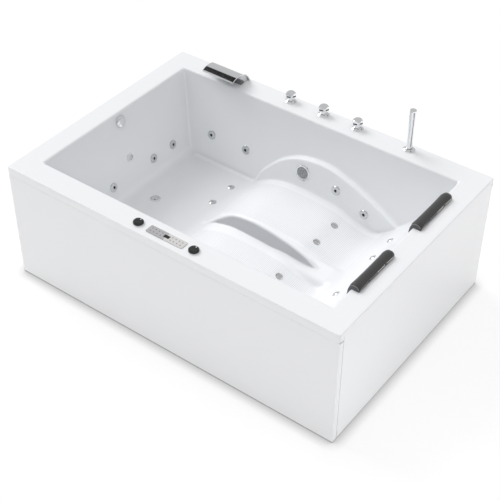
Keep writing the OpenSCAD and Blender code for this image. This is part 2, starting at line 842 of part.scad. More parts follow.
// Water jet ring: flange, tube through the wall and the ball's seat
module jet_ring() {
    difference() {
        rotate_extrude() polygon([[0, 0], [0, -ring_tube_l], [ring_tube_r, -ring_tube_l],
            [ring_tube_r, 0], [jet_d / 2, 0], [jet_d / 2, ring_h / 3], [jet_d / 2 - ring_h / 2, ring_h],
            [0, ring_h]]);
        translate([0, 0, -ball_sink]) sphere(r = ball_r + ball_gap);
        translate([0, 0, -ball_sink - ring_tube_l]) cylinder(r = ball_r + ball_gap, h = ring_tube_l);
    }
}

module jet_rings() {
    color("silver") for (i = [0 : jet_count - 1]) at_jet(i) jet_ring();
}

module jet_body(depth) {
    difference() {
        union() {
            translate([0, 0, -depth - jet_body_tail])
                cylinder(r = jet_body_r, h = depth + jet_body_tail - shell_t);
            translate([0, 0, -shell_t - jet_nut_h]) cylinder(r = jet_nut_r, h = jet_nut_h);
        }
        translate([0, 0, -ring_tube_l - ball_r]) cylinder(r = jet_bore_r, h = ring_tube_l + ball_r);
        translate([0, 0, -depth]) cylinder(r = stub_r, h = depth);
    }
}

module jet_bodies() {
    color("gainsboro") for (i = [0 : jet_count - 1]) {
        at_jet(i) jet_body(jet_depth(i));
        translate(jet_port(i)) difference() {
            cylinder(r = stub_r, h = 2 * stub_l, center = true);
            cylinder(r = stub_r + over, h = 2 * jet_body_r * 0.8, center = true);
        }
    }
}

module ball_nozzle() {
    translate([0, 0, -ball_sink]) difference() {
        sphere(r = ball_r);
        cylinder(r = nozzle_r, h = ball_d + over, center = true);
        translate([0, 0, ball_r - ring_h / 4]) cylinder(r = ball_r, h = ball_r);
        translate([0, 0, -2 * ball_r + ring_h / 2]) cylinder(r = ball_r, h = ball_r);
    }
}

module jet_nozzle(i) {
    color("gray") at_jet(i) ball_nozzle();
}

// Small jets: a face with a slot, and a body through the shell
module small_jet_face() {
    difference() {
        rotate_extrude() polygon([[0, 0], [micro_d / 2, 0], [micro_d / 2, micro_h / 4],
            [micro_d / 3, micro_h], [0, micro_h]]);
        translate([0, 0, micro_h]) cube([micro_slot_l, micro_slot_w, micro_h], center = true);
        for (end = [-1, 1]) translate([end * micro_slot_l / 4, 0, -over])
            cylinder(r = micro_slot_w / 3, h = micro_h + 2 * over);
    }
}

module small_jet_faces() {
    color("silver") for (row = [0 : 2]) for (y = jet_rows) on_seat(row, y) small_jet_face();
}

module small_jet_body(depth) {
    end = depth - row_pipe_r - fitting_t;
    difference() {
        union() {
            translate([0, 0, -end]) cylinder(r = micro_tube_r, h = end);
            translate([0, 0, -shell_t - loose_gap - micro_nut_h])
                cylinder(r = micro_nut_r, h = micro_nut_h);
        }
        translate([0, 0, -end - over]) cylinder(r = micro_tube_r / 2, h = end + 2 * over);
    }
}

module small_jet_bodies() {
    color("gainsboro") for (row = [0 : 2]) for (y = jet_rows)
        on_seat(row, y) small_jet_body(micro_depth[row]);
}

// Suction cover with its rings of holes, and the cup behind it
suction_h = 5;
suction_hole_r = 2.1;
suction_cup = 46;
suction_wall = 4;

module suction_cover() {
    color("silver") on_arm(1, suction_at.x, suction_at.y) difference() {
        rotate_extrude() polygon([[0, 0], [suction_d / 2, 0], [suction_d / 2, suction_h / 2],
            [suction_d / 2 - suction_h / 2, suction_h], [suction_d * 0.4, suction_h * 0.6],
            [0, suction_h * 1.1]]);
        for (ring = [0 : 4]) for (k = [0 : max(ring * 6 - 1, 0)])
            rotate([0, 0, k * 60 / max(ring, 1)]) translate([ring * suction_d * 0.083, 0, -over])
            cylinder(r = suction_hole_r, h = suction_h * 2 + over, $fn = 16);
    }
}

module suction_body() {
    drop = suction_at.y - suction_tube_r;
    color("gainsboro") difference() {
        union() {
            on_arm(1, suction_at.x, suction_at.y) {
                translate([0, 0, -suction_cup]) cylinder(r = suction_tube_r, h = suction_cup);
                translate([0, 0, -shell_t - jet_nut_h])
                    cylinder(r = suction_tube_r + shell_t, h = jet_nut_h);
            }
            translate([suction_at.x, suction_y, drop - 2 * suction_wall])
                cylinder(r = suction_r + suction_wall / 2, h = suction_tube_r / 2);
        }
        on_arm(1, suction_at.x, suction_at.y) translate([0, 0, suction_wall - suction_cup])
            cylinder(r = suction_tube_r - suction_wall, h = suction_cup);
    }
}

// Underwater lamp
module lamp_bezel() {
    color("silver") on_foot_wall(0, lamp_z) difference() {
        rotate_extrude() polygon([[lamp_tube_r - drain_wall, -cut_l], [lamp_tube_r, -cut_l],
            [lamp_tube_r, 0], [lamp_d / 2, 0], [lamp_d / 2, ring_h / 3],
            [lamp_d / 2 - ring_h / 2, ring_h], [lamp_tube_r - drain_wall, ring_h]]);
        translate([0, 0, -cut_l]) cube([lamp_tube_r / 2, lamp_d, lamp_tube_r / 2], center = true);
    }
}

module lamp_lens() {
    r = lamp_tube_r - drain_wall - seat_gap;
    color("lightcyan") on_foot_wall(0, lamp_z) rotate_extrude() polygon([[0, -cut_l], [r, -cut_l],
        [r, ring_h / 2], [r * 0.8, ring_h], [0, ring_h * 1.3]]);
}

// Waterfall spout: an arched sheet over the rim's edge, on a base that brings the water up
sheet_t = 5;
spout_centre_y = side_edge;
spout_drop = 30;
spout_centre_z = rim_h - spout_drop;
spout_base_w = 20;
spout_base_set = 28;

module spout_sheet() {
    rear = asin((rim_h - spout_centre_z) / (spout_r - sheet_t / 2));
    front_angle = 121;
    color("silver") translate([spout_x, spout_centre_y, spout_centre_z])
        along_x(spout_w) intersection() {
            difference() {
                circle(r = spout_r, $fn = 128);
                circle(r = spout_r - sheet_t, $fn = 128);
            }
            polygon([[0, 0], [2 * spout_r, 2 * spout_r * tan(rear)], [2 * spout_r, 2 * spout_r],
                [2 * spout_r * cos(front_angle), 2 * spout_r * sin(front_angle)]]);
            translate([-spout_r, rim_h - spout_centre_z]) square([2 * spout_r, spout_r]);
        }
}

module spout_base() {
    y0 = side_edge + spout_base_set;
    color("silver") union() {
        translate([spout_x, spout_centre_y, spout_centre_z])
            along_x(spout_w - spout_base_w) intersection() {
                circle(r = spout_r - sheet_t - seat_gap, $fn = 128);
                translate([y0 - spout_centre_y, rim_h - spout_centre_z])
                    square([spout_r * 0.56, spout_r]);
            }
        rim_at(spout_x, tap_y) translate([0, 0, -2 * shell_t - 2 * spout_base_w])
            cylinder(r = spout_pipe_r, h = 2 * shell_t + 2 * spout_base_w + over);
        rim_at(spout_x, tap_y) translate([0, 0, -2 * shell_t])
            cylinder(r = spout_pipe_r + shell_t, h = shell_t);
    }
}

// Taps: flange on the rim, valve under it and a square cap that turns
flange_h = 10;
valve_r = 14;
valve_l = 70;
tail_r = 10.48;
tail_l = 40;
spindle_r = 5;
skirt_r = 16;
cap_h = tap_h / 2;

module flange(r, bore) {
    rotate_extrude() polygon([[bore, 0], [r, 0], [r, flange_h * 0.4],
        [r - flange_h / 2, flange_h * 0.75], [skirt_r + flange_h / 4, flange_h], [bore, flange_h]]);
}

module tap_flanges() {
    color("silver") for (x = tap_places) rim_at(x, tap_y) flange(tap_d / 2, valve_r + seat_gap);
}

module tap_valves() {
    color("goldenrod") for (x = tap_places) rim_at(x, tap_y) {
        translate([0, 0, -valve_l]) cylinder(r = valve_r, h = valve_l + flange_h - over);
        translate([0, 0, flange_h - 2 * over]) cylinder(r = spindle_r, h = tap_h - 2 * flange_h);
        translate([0, 0, -valve_l - groove_l - over])
            cylinder(r = tail_r - groove_d, h = groove_l + 2 * over);
        translate([0, 0, -valve_l - groove_l - tail_l]) cylinder(r = tail_r, h = tail_l);
        translate([0, 0, -shell_t - flange_h]) cylinder(r = valve_r + shell_t, h = flange_h);
    }
}

module tap_knob(x) {
    low = flange_h + seat_gap;
    color("silver") rim_at(x, tap_y) difference() {
        union() {
            translate([0, 0, low]) cylinder(r = skirt_r, h = tap_h - cap_h);
            intersection() {
                translate([0, 0, tap_h - cap_h]) linear_extrude(height = cap_h)
                    round_box_section(cap_w, cap_w, cap_w / 8);
                rotate_extrude() polygon([[0, 0], [cap_w * 0.62, 0], [cap_w * 0.66, tap_h - cap_h / 2],
                    [cap_w * 0.62, tap_h - cap_h / 6], [cap_w * 0.5, tap_h], [0, tap_h]]);
            }
        }
        translate([0, 0, -over]) cylinder(r = spindle_r + run_gap, h = tap_h - flange_h + 2 * over);
    }
}

module hot_tap_knob() {
    tap_knob(tap_places[0]);
}

module cold_tap_knob() {
    tap_knob(tap_places[1]);
}

module diverter_knob() {
    tap_knob(tap_places[2]);
}

// Hand shower: a slim stick that lifts out of its holder
handset_low = 40;
handset_foot_r = 14;
holder_bore_r = 15;
holder_l = 60;

module handset_holder() {
    color("silver") rim_at(handset_x, tap_y) difference() {
        union() {
            flange(tap_d / 2, 0);
            translate([0, 0, -holder_l]) cylinder(r = holder_r, h = holder_l);
            translate([0, 0, -shell_t - flange_h]) cylinder(r = holder_r + shell_t, h = flange_h);
        }
        translate([0, 0, -handset_low]) cylinder(r = holder_bore_r, h = handset_low + flange_h + over);
        translate([0, 0, -holder_l - over]) cylinder(r = holder_bore_r / 2, h = holder_l);
    }
}

module handset() {
    low = seat_gap - handset_low;
    color("silver") rim_at(handset_x, tap_y) union() {
        translate([0, 0, low]) cylinder(r = handset_foot_r, h = handset_low + flange_h);
        translate([0, 0, flange_h])
            cylinder(r1 = handset_foot_r, r2 = handset_d / 2, h = handset_h - flange_h - sheet_t);
        translate([0, 0, handset_h - sheet_t])
            cylinder(r1 = handset_d / 2, r2 = handset_d / 2 - over, h = sheet_t);
    }
}

// Air controls and the control panel on the front rim
air_ring_h = 3;
air_ring_w = 2.5;
air_ring_r = air_d / 2 + air_ring_w;
air_knob_h = 11;
air_tube_l = 70;

module air_control_bodies() {
    color("whitesmoke") for (x = [air_left_x, air_right_x]) rim_at(x, control_y) difference() {
        union() {
            cylinder(r = air_ring_r, h = air_ring_h);
            translate([0, 0, -air_tube_l]) cylinder(r = air_tube_r, h = air_tube_l);
            translate([0, 0, -shell_t - flange_h]) cylinder(r = air_tube_r + air_ring_h, h = flange_h);
        }
        translate([0, 0, -air_tube_l / 2]) cylinder(r = spindle_r + run_gap, h = air_tube_l);
    }
}

module air_knob(x) {
    low = air_ring_h + seat_gap;
    color("#262828") rim_at(x, control_y) difference() {
        union() {
            rotate_extrude() polygon([[0, low], [air_d / 2, low], [air_d / 2, low + air_knob_h * 0.6],
                [air_d / 2 - air_knob_h * 0.4, low + air_knob_h], [0, low + air_knob_h]]);
            translate([0, 0, -air_tube_l / 3]) cylinder(r = spindle_r, h = air_tube_l / 3 + 2 * low);
        }
        rotate([0, 0, 60]) translate([air_d * 0.4, 0, low + air_knob_h])
            cube([air_d * 0.3, air_knob_h / 3, air_knob_h / 2], center = true);
    }
}

module air_knob_left() {
    air_knob(air_left_x);
}

module air_knob_right() {
    air_knob(air_right_x);
}

panel_face_t = 4;
panel_deep = 26;

module control_panel() {
    color("silver") rim_at(panel_x, control_y) union() {
        linear_extrude(height = panel_face_t) round_box_section(panel_l, panel_w, panel_w / 8);
        translate([0, 0, -panel_deep / 2])
            cube([panel_cut_l - 2 * loose_gap, panel_cut_w - 2 * loose_gap, panel_deep],
                center = true);
    }
}

// Headrests: a padded saddle over the rim, with a flap down the backrest
headrest_clear = 1.2;
flap_t = 10;
headrest_stations = 15;
arc_pad = (rim_r + headrest_clear) / cos(22.5);
headrest_section = [
    [back_x(rim_h - flap_h) - headrest_clear, rim_h - flap_h],
    [back_x(rim_h - flap_h) - flap_t * 0.5, rim_h - flap_h - flap_t * 0.3],
    [back_x(rim_h - flap_h) - flap_t, rim_h - flap_h + flap_t * 0.3],
    [back_x(rim_h - flap_h * 0.6) - flap_t * 1.5, rim_h - flap_h * 0.6],
    [head_edge - rim_r - flap_t * 1.3, rim_h - flap_h * 0.15],
    [head_edge - rim_r - flap_t * 0.6, rim_h + pad_h * 0.45],
    [head_edge - rim_r + flap_t * 0.4, rim_h + pad_h * 0.82],
    [head_edge - rim_r * 0.2, rim_h + pad_h],
    [head_edge + saddle_l * 0.45, rim_h + pad_h],
    [head_edge + saddle_l * 0.82, rim_h + pad_h * 0.78],
    [head_edge + saddle_l, rim_h + pad_h * 0.45],
    [head_edge + saddle_l, rim_h + pad_h * 0.2],
    [head_edge + saddle_l * 0.9, rim_h + headrest_clear],
    [head_edge, rim_h + headrest_clear],
    [head_edge - arc_pad * 0.7072, rim_h - rim_r + arc_pad * 0.7072],
    [head_edge - arc_pad, rim_h - rim_r],
    [back_x(rim_h - flap_h * 0.55) - headrest_clear, rim_h - flap_h * 0.55]];
headrest_pivot = [head_edge - rim_r * 0.1, rim_h + headrest_clear];

function headrest_scale(t) = (0.9 + 0.1 * t * t) * (abs(t) > 0.95 ? 0.86 : 1);
function headrest_point(p, t) =
    let (low = p.y < rim_h + headrest_clear + seat_gap,
        flap = p.x > back_x(min(p.y, rim_h)) - headrest_clear - seat_gap,
        saddle = p.x > head_edge - arc_pad - seat_gap)
    low && (flap || saddle) ? p : headrest_pivot + (p - headrest_pivot) * headrest_scale(t);

module headrest(side) {
    n = len(headrest_section);
    m = headrest_stations;
    points = [for (s = [0 : m - 1])
        let (t = 2 * s / (m - 1) - 1, bend = sign(t) * pow(abs(t), 0.75))
        for (p = headrest_section) let (q = headrest_point(p, t))
            [q.x, side * headrest_y + bend * headrest_l / 2, q.y]];
    faces = concat(
        [[for (k = [0 : n - 1]) k]],
        [[for (k = [n - 1 : -1 : 0]) (m - 1) * n + k]],
        [for (s = [0 : m - 2]) for (k = [0 : n - 1])
            [s * n + (k + 1) % n, s * n + k, (s + 1) * n + k]],
        [for (s = [0 : m - 2]) for (k = [0 : n - 1])
            [s * n + (k + 1) % n, (s + 1) * n + k, (s + 1) * n + (k + 1) % n]]);
    color("#555655") difference() {
        polyhedron(points = points, faces = faces);
        for (end = [-1, 1]) translate([peg_x, side * headrest_y + end * peg_pitch / 2, rim_h])
            cylinder(r = peg_r + seat_gap, h = pad_h * 0.45);
    }
}

module headrest_front() {
    headrest(-1);
}

module headrest_back() {
    headrest(1);
}

module headrest_pegs() {
    color("gray") for (side = [-1, 1]) for (end = [-1, 1])
        rim_at(peg_x, side * headrest_y + end * peg_pitch / 2)
        translate([0, 0, -shell_t * 3]) cylinder(r = peg_r, h = shell_t * 3 + pad_h * 0.35);
}

// Pump: volute with its inlet and outlet, motor with cooling ribs, and the rotor that spins inside
module on_pump() {
    translate([pump_x, pump_y, pump_z]) rotate([-90, 0, 0]) children();
}

motor_y0 = -volute_w / 2 - motor_l;
rib_count = 24;
rib_h = 5;
rib_w = 3;

module pump_housing() {
    color("#2b2d30") difference() {
        union() {
            on_pump() {
                translate([0, 0, -volute_w / 2]) cylinder(r = volute_r, h = volute_w);
                cylinder(r = suction_r + 2 * suction_wall, h = volute_w / 2 + union_l);
            }
            translate([pump_x, pump_y, pump_z]) cylinder(r = pipe_r + suction_wall, h = volute_r + union_l);
            translate([pump_x - volute_r * 0.8, pump_y - volute_w / 2, equip_top])
                cube([volute_r * 1.6, volute_w, pump_z - equip_top - volute_r / 2]);
        }
        on_pump() {
            translate([0, 0, -volute_w / 2 - over])
                cylinder(r = impeller_r + chamber_gap, h = volute_w * 0.7);
            cylinder(r = suction_r, h = volute_w + union_l);
        }
        translate([pump_x, pump_y, pump_z]) cylinder(r = pipe_r, h = 2 * volute_r);
    }
}

module pump_motor() {
    color("#3a3d42") difference() {
        union() {
            on_pump() translate([0, 0, motor_y0]) {
                cylinder(r = motor_r, h = motor_l);
                for (a = [0 : rib_count - 1]) rotate([0, 0, a * 360 / rib_count])
                    translate([0, -rib_w / 2, cowl_l])
                    cube([motor_r + rib_h, rib_w, motor_l - cowl_l - union_l]);
            }
            translate([pump_x - motor_r * 0.8, pump_y - volute_w / 2 - motor_l * 0.8, equip_top])
                cube([motor_r * 1.6, motor_l * 0.6, pump_z - equip_top - motor_r / 2]);
        }
        on_pump() {
            translate([0, 0, motor_y0 - over]) cylinder(r = shaft_r + run_gap, h = motor_l + 2 * over);
            translate([0, 0, motor_y0 + rib_w]) cylinder(r = fan_r + chamber_gap, h = cowl_l - 2 * rib_w);
            for (ring = [1 : 3]) for (k = [0 : ring * 6 - 1]) rotate([0, 0, k * 60 / ring])
                translate([ring * fan_r * 0.28, 0, motor_y0 - over])
                cylinder(r = fan_r / 12, h = 2 * rib_w, $fn = 16);
        }
    }
}

module pump_rotor() {
    fan_z = motor_y0 + cowl_l / 2 - fan_w / 2;
    color("silver") on_pump() {
        translate([0, 0, motor_y0 + rib_w + over]) cylinder(r = shaft_r, h = motor_l + impeller_w);
        translate([0, 0, -volute_w / 2 + chamber_gap]) cylinder(r = impeller_r, h = impeller_w / 4);
        for (a = [0 : 60 : 300]) rotate([0, 0, a]) translate([shaft_r / 2, 0, -volute_w / 2 + chamber_gap])
            rotate([0, 0, 20]) cube([impeller_r * 0.8, rib_w, impeller_w]);
        for (a = [0 : 45 : 315]) rotate([0, 0, a]) translate([shaft_r / 2, -rib_w / 2, fan_z])
            cube([fan_r - shaft_r, rib_w, fan_w]);
    }
}

// Water heater in the pressure line, with a union at each end
module heater() {
    color("silver") translate([pump_x, heater_y, heater_z]) rotate([-90, 0, 0]) union() {
        cylinder(r = heater_r, h = heater_l);
        cylinder(r = union_r, h = union_l);
        translate([0, 0, heater_l - union_l]) cylinder(r = union_r, h = union_l);
        translate([heater_r * 0.4, -heater_r * 0.5, heater_l / 2 - union_r])
            cube([heater_r, heater_r, 2 * union_r]);
    }
}

module control_box() {
    color("#d8dade") translate([cross_x[3], 2 * tube - rail_y + union_l, equip_top]) difference() {
        union() {
            cube([box_l, box_w, box_h]);
            for (x = [-tube / 2, box_l - tube / 2])
                translate([x, box_w / 3, 0]) cube([tube, box_w / 3, rib_h]);
        }
        translate([-over, -over, box_h - rib_w]) difference() {
            cube([box_l + 2 * over, box_w + 2 * over, over]);
            translate([2 * over, 2 * over, -over]) cube([box_l - 2 * over, box_w - 2 * over, 3 * over]);
        }
    }
}

// Pipes
module suction_pipe() {
    top = suction_at.y - suction_tube_r - 2 * suction_wall - seat_gap;
    end = pump_y + volute_w / 2 + union_l + seat_gap;
    color("white") pipe_run([[suction_at.x, suction_y, top], [suction_at.x, suction_y, pump_z],
        [pump_x, suction_y, pump_z], [pump_x, end, pump_z]], suction_r);
}

last_jet_x = arm_jets[1].x + 2 * stub_l;

module pressure_pipes() {
    color("white") {
        pipe_run([[pump_x, pump_y, pump_z + volute_r + union_l + seat_gap], [pump_x, pump_y, heater_z],
            [pump_x, heater_y - seat_gap, heater_z]], pipe_r);
        pipe_run([[pump_x, heater_y + heater_l + seat_gap, heater_z], [pump_x, pipe_y, heater_z],
            [pump_x, pipe_y, pipe_z], [pipe_x, pipe_y, pipe_z], [pipe_x, -pipe_y, pipe_z],
            [last_jet_x, -pipe_y, pipe_z]], pipe_r);
        for (i = [0 : jet_count - 1]) {
            p = jet_port(i);
            low = pipe_z + pipe_r + seat_gap;
            translate([p.x, p.y, low]) cylinder(r = stub_r - over, h = p.z - stub_l - seat_gap - low);
        }
        for (row = [0 : 2]) {
            x = row_pipe_x(row);
            z = row_pipe_z(row);
            near = pipe_r + seat_gap;
            if (abs(z - pipe_z) > row_pipe_r)
                pipe_run([[x, -jet_outer_y - 2 * row_pipe_r, z], [x, pipe_y, z],
                    [x, pipe_y, pipe_z + sign(z - pipe_z) * near]], row_pipe_r);
            else
                pipe_run([[x, -jet_outer_y - 2 * row_pipe_r, z], [x, pipe_y - near, z]], row_pipe_r);
            for (y = jet_rows) on_seat(row, y) translate([0, 0, -micro_depth[row]])
                cylinder(r = micro_tube_r - over, h = row_pipe_r + fitting_t - seat_gap);
        }
    }
}

module air_pipes() {
    color("silver") {
        pipe_run([[last_jet_x, pipe_y, air_z], [pipe_x, pipe_y, air_z], [pipe_x, -pipe_y, air_z],
            [last_jet_x, -pipe_y, air_z]], air_pipe_r);
        for (i = [0 : jet_count - 1]) {
            p = jet_port(i);
            translate([p.x, p.y, p.z + stub_l + seat_gap])
                cylinder(r = air_pipe_r - over, h = air_z - air_pipe_r - p.z - stub_l - 2 * seat_gap);
        }
        for (x = [air_left_x, air_right_x])
            pipe_run([[x, control_y, rim_h - air_tube_l - seat_gap], [x, control_y, air_z],
                [x, -pipe_y - air_pipe_r - seat_gap, air_z]], air_pipe_r);
    }
}

shell();
base_board();
equipment_board();
front_panel();
left_panel();
right_panel();
upper_frame();
lower_frame();
shell_supports();
foot_screws();
foot_pads();
drain_body();
overflow_body();
waste_pipes();
jet_rings();
jet_bodies();
small_jet_faces();
small_jet_bodies();
suction_cover();
suction_body();
lamp_bezel();
lamp_lens();
spout_sheet();
spout_base();
tap_flanges();
tap_valves();
handset_holder();
control_panel();
air_control_bodies();
headrest_front();
headrest_back();
headrest_pegs();
pump_housing();
pump_motor();
heater();
control_box();
suction_pipe();
pressure_pipes();
air_pipes();
pump_rotor();
hot_tap_knob();
cold_tap_knob();
diverter_knob();
air_knob_left();
air_knob_right();
overflow_knob();
drain_plug();
handset();
jet_nozzle(0);  // foot_jet_nozzle_1
jet_nozzle(1);  // foot_jet_nozzle_2
jet_nozzle(2);  // foot_jet_nozzle_3
jet_nozzle(3);  // foot_jet_nozzle_4
jet_nozzle(4);  // wall_jet_nozzle_1
jet_nozzle(5);  // wall_jet_nozzle_2
jet_nozzle(6);  // wall_jet_nozzle_3
jet_nozzle(7);  // wall_jet_nozzle_4
jet_nozzle(8);  // arm_jet_nozzle_1
jet_nozzle(9);  // arm_jet_nozzle_2
jet_nozzle(10);  // arm_jet_nozzle_3
jet_nozzle(11);  // arm_jet_nozzle_4
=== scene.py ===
import json
import math

import bpy
import numpy as np
from mathutils import Matrix, Vector
from mathutils.bvhtree import BVHTree

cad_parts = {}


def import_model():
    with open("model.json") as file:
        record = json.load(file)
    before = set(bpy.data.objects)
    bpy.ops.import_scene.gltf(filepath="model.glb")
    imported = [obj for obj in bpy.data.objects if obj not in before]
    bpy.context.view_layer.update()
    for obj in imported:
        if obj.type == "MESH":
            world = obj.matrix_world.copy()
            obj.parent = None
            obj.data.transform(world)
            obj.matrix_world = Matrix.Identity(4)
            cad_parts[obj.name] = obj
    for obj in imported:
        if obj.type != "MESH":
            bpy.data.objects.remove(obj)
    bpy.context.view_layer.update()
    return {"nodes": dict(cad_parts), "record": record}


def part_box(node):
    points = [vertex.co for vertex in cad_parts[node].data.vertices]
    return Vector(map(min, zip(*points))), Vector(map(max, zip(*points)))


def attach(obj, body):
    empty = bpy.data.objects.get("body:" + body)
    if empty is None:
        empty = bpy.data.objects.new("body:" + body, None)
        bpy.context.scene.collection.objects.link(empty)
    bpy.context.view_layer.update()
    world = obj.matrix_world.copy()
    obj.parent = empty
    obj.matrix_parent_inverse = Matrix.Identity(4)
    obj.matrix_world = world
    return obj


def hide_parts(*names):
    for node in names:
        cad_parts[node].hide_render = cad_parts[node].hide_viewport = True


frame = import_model()
nodes = frame["nodes"]
scene = bpy.context.scene

MM = 0.001
BODY_OF = {
    node: body
    for body, members in frame["record"]["behaviour"]["bodies"].items()
    for node in members
}
SLOT_OF = {part["node"]: part["material_slot"] for part in frame["record"]["subparts"]}


# Helpers

MERGE_WITHIN = 0.01 * MM


def deselect_all():
    for item in bpy.context.selected_objects:
        item.select_set(False)


def pick(item):
    deselect_all()
    item.select_set(True)
    bpy.context.view_layer.objects.active = item


def enter_edit():
    bpy.ops.object.mode_set(mode="EDIT")


def leave_edit():
    bpy.ops.object.mode_set(mode="OBJECT")


def select_where(item, kind, test):
    """Into edit mode, with only the faces or points selected that pass the test."""
    pick(item)
    enter_edit()
    bpy.ops.mesh.select_mode(type=kind)
    bpy.ops.mesh.select_all(action="DESELECT")
    leave_edit()
    for part in item.data.polygons if kind == "FACE" else item.data.vertices:
        part.select = test(part)
    enter_edit()


def smooth(item, angle):
    pick(item)
    bpy.ops.object.shade_smooth_by_angle(angle=math.radians(angle))


def twin(node, name):
    """A merged copy of a solid, as a mesh of its own."""
    item = bpy.data.objects.new(name, nodes[node].data.copy())
    scene.collection.objects.link(item)
    item.data.materials.clear()
    pick(item)
    enter_edit()
    bpy.ops.mesh.select_all(action="SELECT")
    bpy.ops.mesh.remove_doubles(threshold=MERGE_WITHIN)
    leave_edit()
    return item


def joined(items, name):
    deselect_all()
    for item in items:
        item.select_set(True)
    bpy.context.view_layer.objects.active = items[0]
    bpy.ops.object.join()
    items[0].name = name
    return items[0]


def paint(item, material):
    item.data.materials.clear()
    item.data.materials.append(material)


def paint_where(item, material, test):
    """A second material, on the faces that pass the test."""
    item.data.materials.append(material)
    for face in item.data.polygons:
        if test(face):
            face.material_index = 1


def hang(item, body, material):
    paint(item, material)
    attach(item, body)


def stand_for(item, node, material):
    hang(item, BODY_OF[node], material)
    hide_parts(node)


def middle_of(node):
    low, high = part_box(node)
    return (Vector(low) + Vector(high)) / 2


# Basin: the measures that its form and its material share, in millimetres

RIM = 630.0
FLOOR = 203.0
DEPTH = RIM - FLOOR
SIDE_TOP = 505.4
PAD_MIDDLE = 130.0
PAD_REACH = 355.0
PAD_SIDES = (78.0, 372.0)
PAD_PITCH = 8.0


# Materials

COAT_ROUGHNESS = 0.08


def new_material(name, roughness=0.5, coat=0.0):
    material = bpy.data.materials.new(name)
    material.use_nodes = True
    shader = material.node_tree.nodes["Principled BSDF"]
    shader.inputs["Roughness"].default_value = roughness
    shader.inputs["Coat Weight"].default_value = coat
    shader.inputs["Coat Roughness"].default_value = COAT_ROUGHNESS
    return material, material.node_tree, shader


def plain(name, color, roughness, metallic=0.0, coat=0.0):
    material, _, shader = new_material(name, roughness, coat)
    shader.inputs["Base Color"].default_value = (*color, 1)
    shader.inputs["Metallic"].default_value = metallic
    return material


ACRYLIC = (0.89, 0.90, 0.92)
acrylic_rim = plain("acrylic", ACRYLIC, 0.28, coat=0.3)
bright_chrome = plain("bright_chrome", (0.80, 0.81, 0.82), 0.05, metallic=1.0)
raw_steel = plain("raw_steel", (0.55, 0.56, 0.58), 0.35, metallic=1.0)
valve_brass = plain("valve_brass", (0.72, 0.52, 0.24), 0.3, metallic=1.0)
frame_steel = plain("frame_steel", (0.06, 0.065, 0.07), 0.45)
board_wood = plain("board_wood", (0.52, 0.36, 0.19), 0.7)
foot_rubber = plain("foot_rubber", (0.02, 0.02, 0.02), 0.6)
pipe_plastic = plain("pipe_plastic", (0.80, 0.80, 0.78), 0.35)
waste_plastic = plain("waste_plastic", (0.42, 0.43, 0.45), 0.4)
grey_plastic = plain("grey_plastic", (0.20, 0.205, 0.21), 0.3)
air_hose = plain("air_hose", (0.62, 0.66, 0.70), 0.3)
black_plastic = plain("black_plastic", (0.018, 0.020, 0.020), 0.3)
white_plastic = plain("white_plastic", (0.82, 0.83, 0.84), 0.35)
panel_silver = plain("panel_silver", (0.62, 0.63, 0.64), 0.35, metallic=0.4)
pump_plastic = plain("pump_plastic", (0.03, 0.03, 0.034), 0.4)
motor_paint = plain("motor_paint", (0.045, 0.05, 0.06), 0.4)
headrest_skin = plain("headrest_skin", (0.046, 0.046, 0.047), 0.40)
headrest_end = plain("headrest_end", (0.105, 0.110, 0.115), 0.5)
piping_skin = plain("piping_skin", (0.30, 0.29, 0.28), 0.35)
piping_light = plain("piping_light", (0.85, 0.83, 0.80), 0.4)
lamp_glass = plain("lamp_glass", (0.66, 0.68, 0.70), 0.12, coat=0.6)
suction_chrome = plain("suction_chrome", (0.50, 0.50, 0.51), 0.22, metallic=1.0)
jet_silver = plain("jet_silver", (0.66, 0.67, 0.68), 0.22, metallic=1.0)
jet_dark = plain("jet_dark", (0.004, 0.004, 0.004), 0.6)
small_jet_silver = plain("small_jet_silver", (0.70, 0.70, 0.71), 0.2, metallic=1.0)
spout_end = plain("spout_end", (0.93, 0.93, 0.93), 0.35)


def calculated(tree, operation, first, second=None):
    node = tree.nodes.new("ShaderNodeMath")
    node.operation = operation
    for socket, value in zip(node.inputs, (first, second)):
        if isinstance(value, (int, float)):
            socket.default_value = value
        elif value is not None:
            tree.links.new(value, socket)
    return node.outputs[0]


def distance_of(tree, first, second):
    """How far a place lies from nought, from its two offsets."""
    squares = [calculated(tree, "MULTIPLY", off, off) for off in (first, second)]
    return calculated(tree, "SQRT", calculated(tree, "ADD", *squares))


def place_of(tree):
    """The place's x, y and z, as three values."""
    place = tree.nodes.new("ShaderNodeTexCoord")
    parts = tree.nodes.new("ShaderNodeSeparateXYZ")
    tree.links.new(place.outputs["Object"], parts.inputs[0])
    return parts.outputs


def colored(tree, mask, under, over):
    """The colour under, with the colour over it where the mask is 1."""
    mix = tree.nodes.new("ShaderNodeMix")
    mix.data_type = "RGBA"
    for name, color in (("A", under), ("B", over)):
        if isinstance(color, tuple):
            mix.inputs[name].default_value = (*color, 1)
        else:
            tree.links.new(color, mix.inputs[name])
    tree.links.new(mask, mix.inputs["Factor"])
    return mix.outputs["Result"]


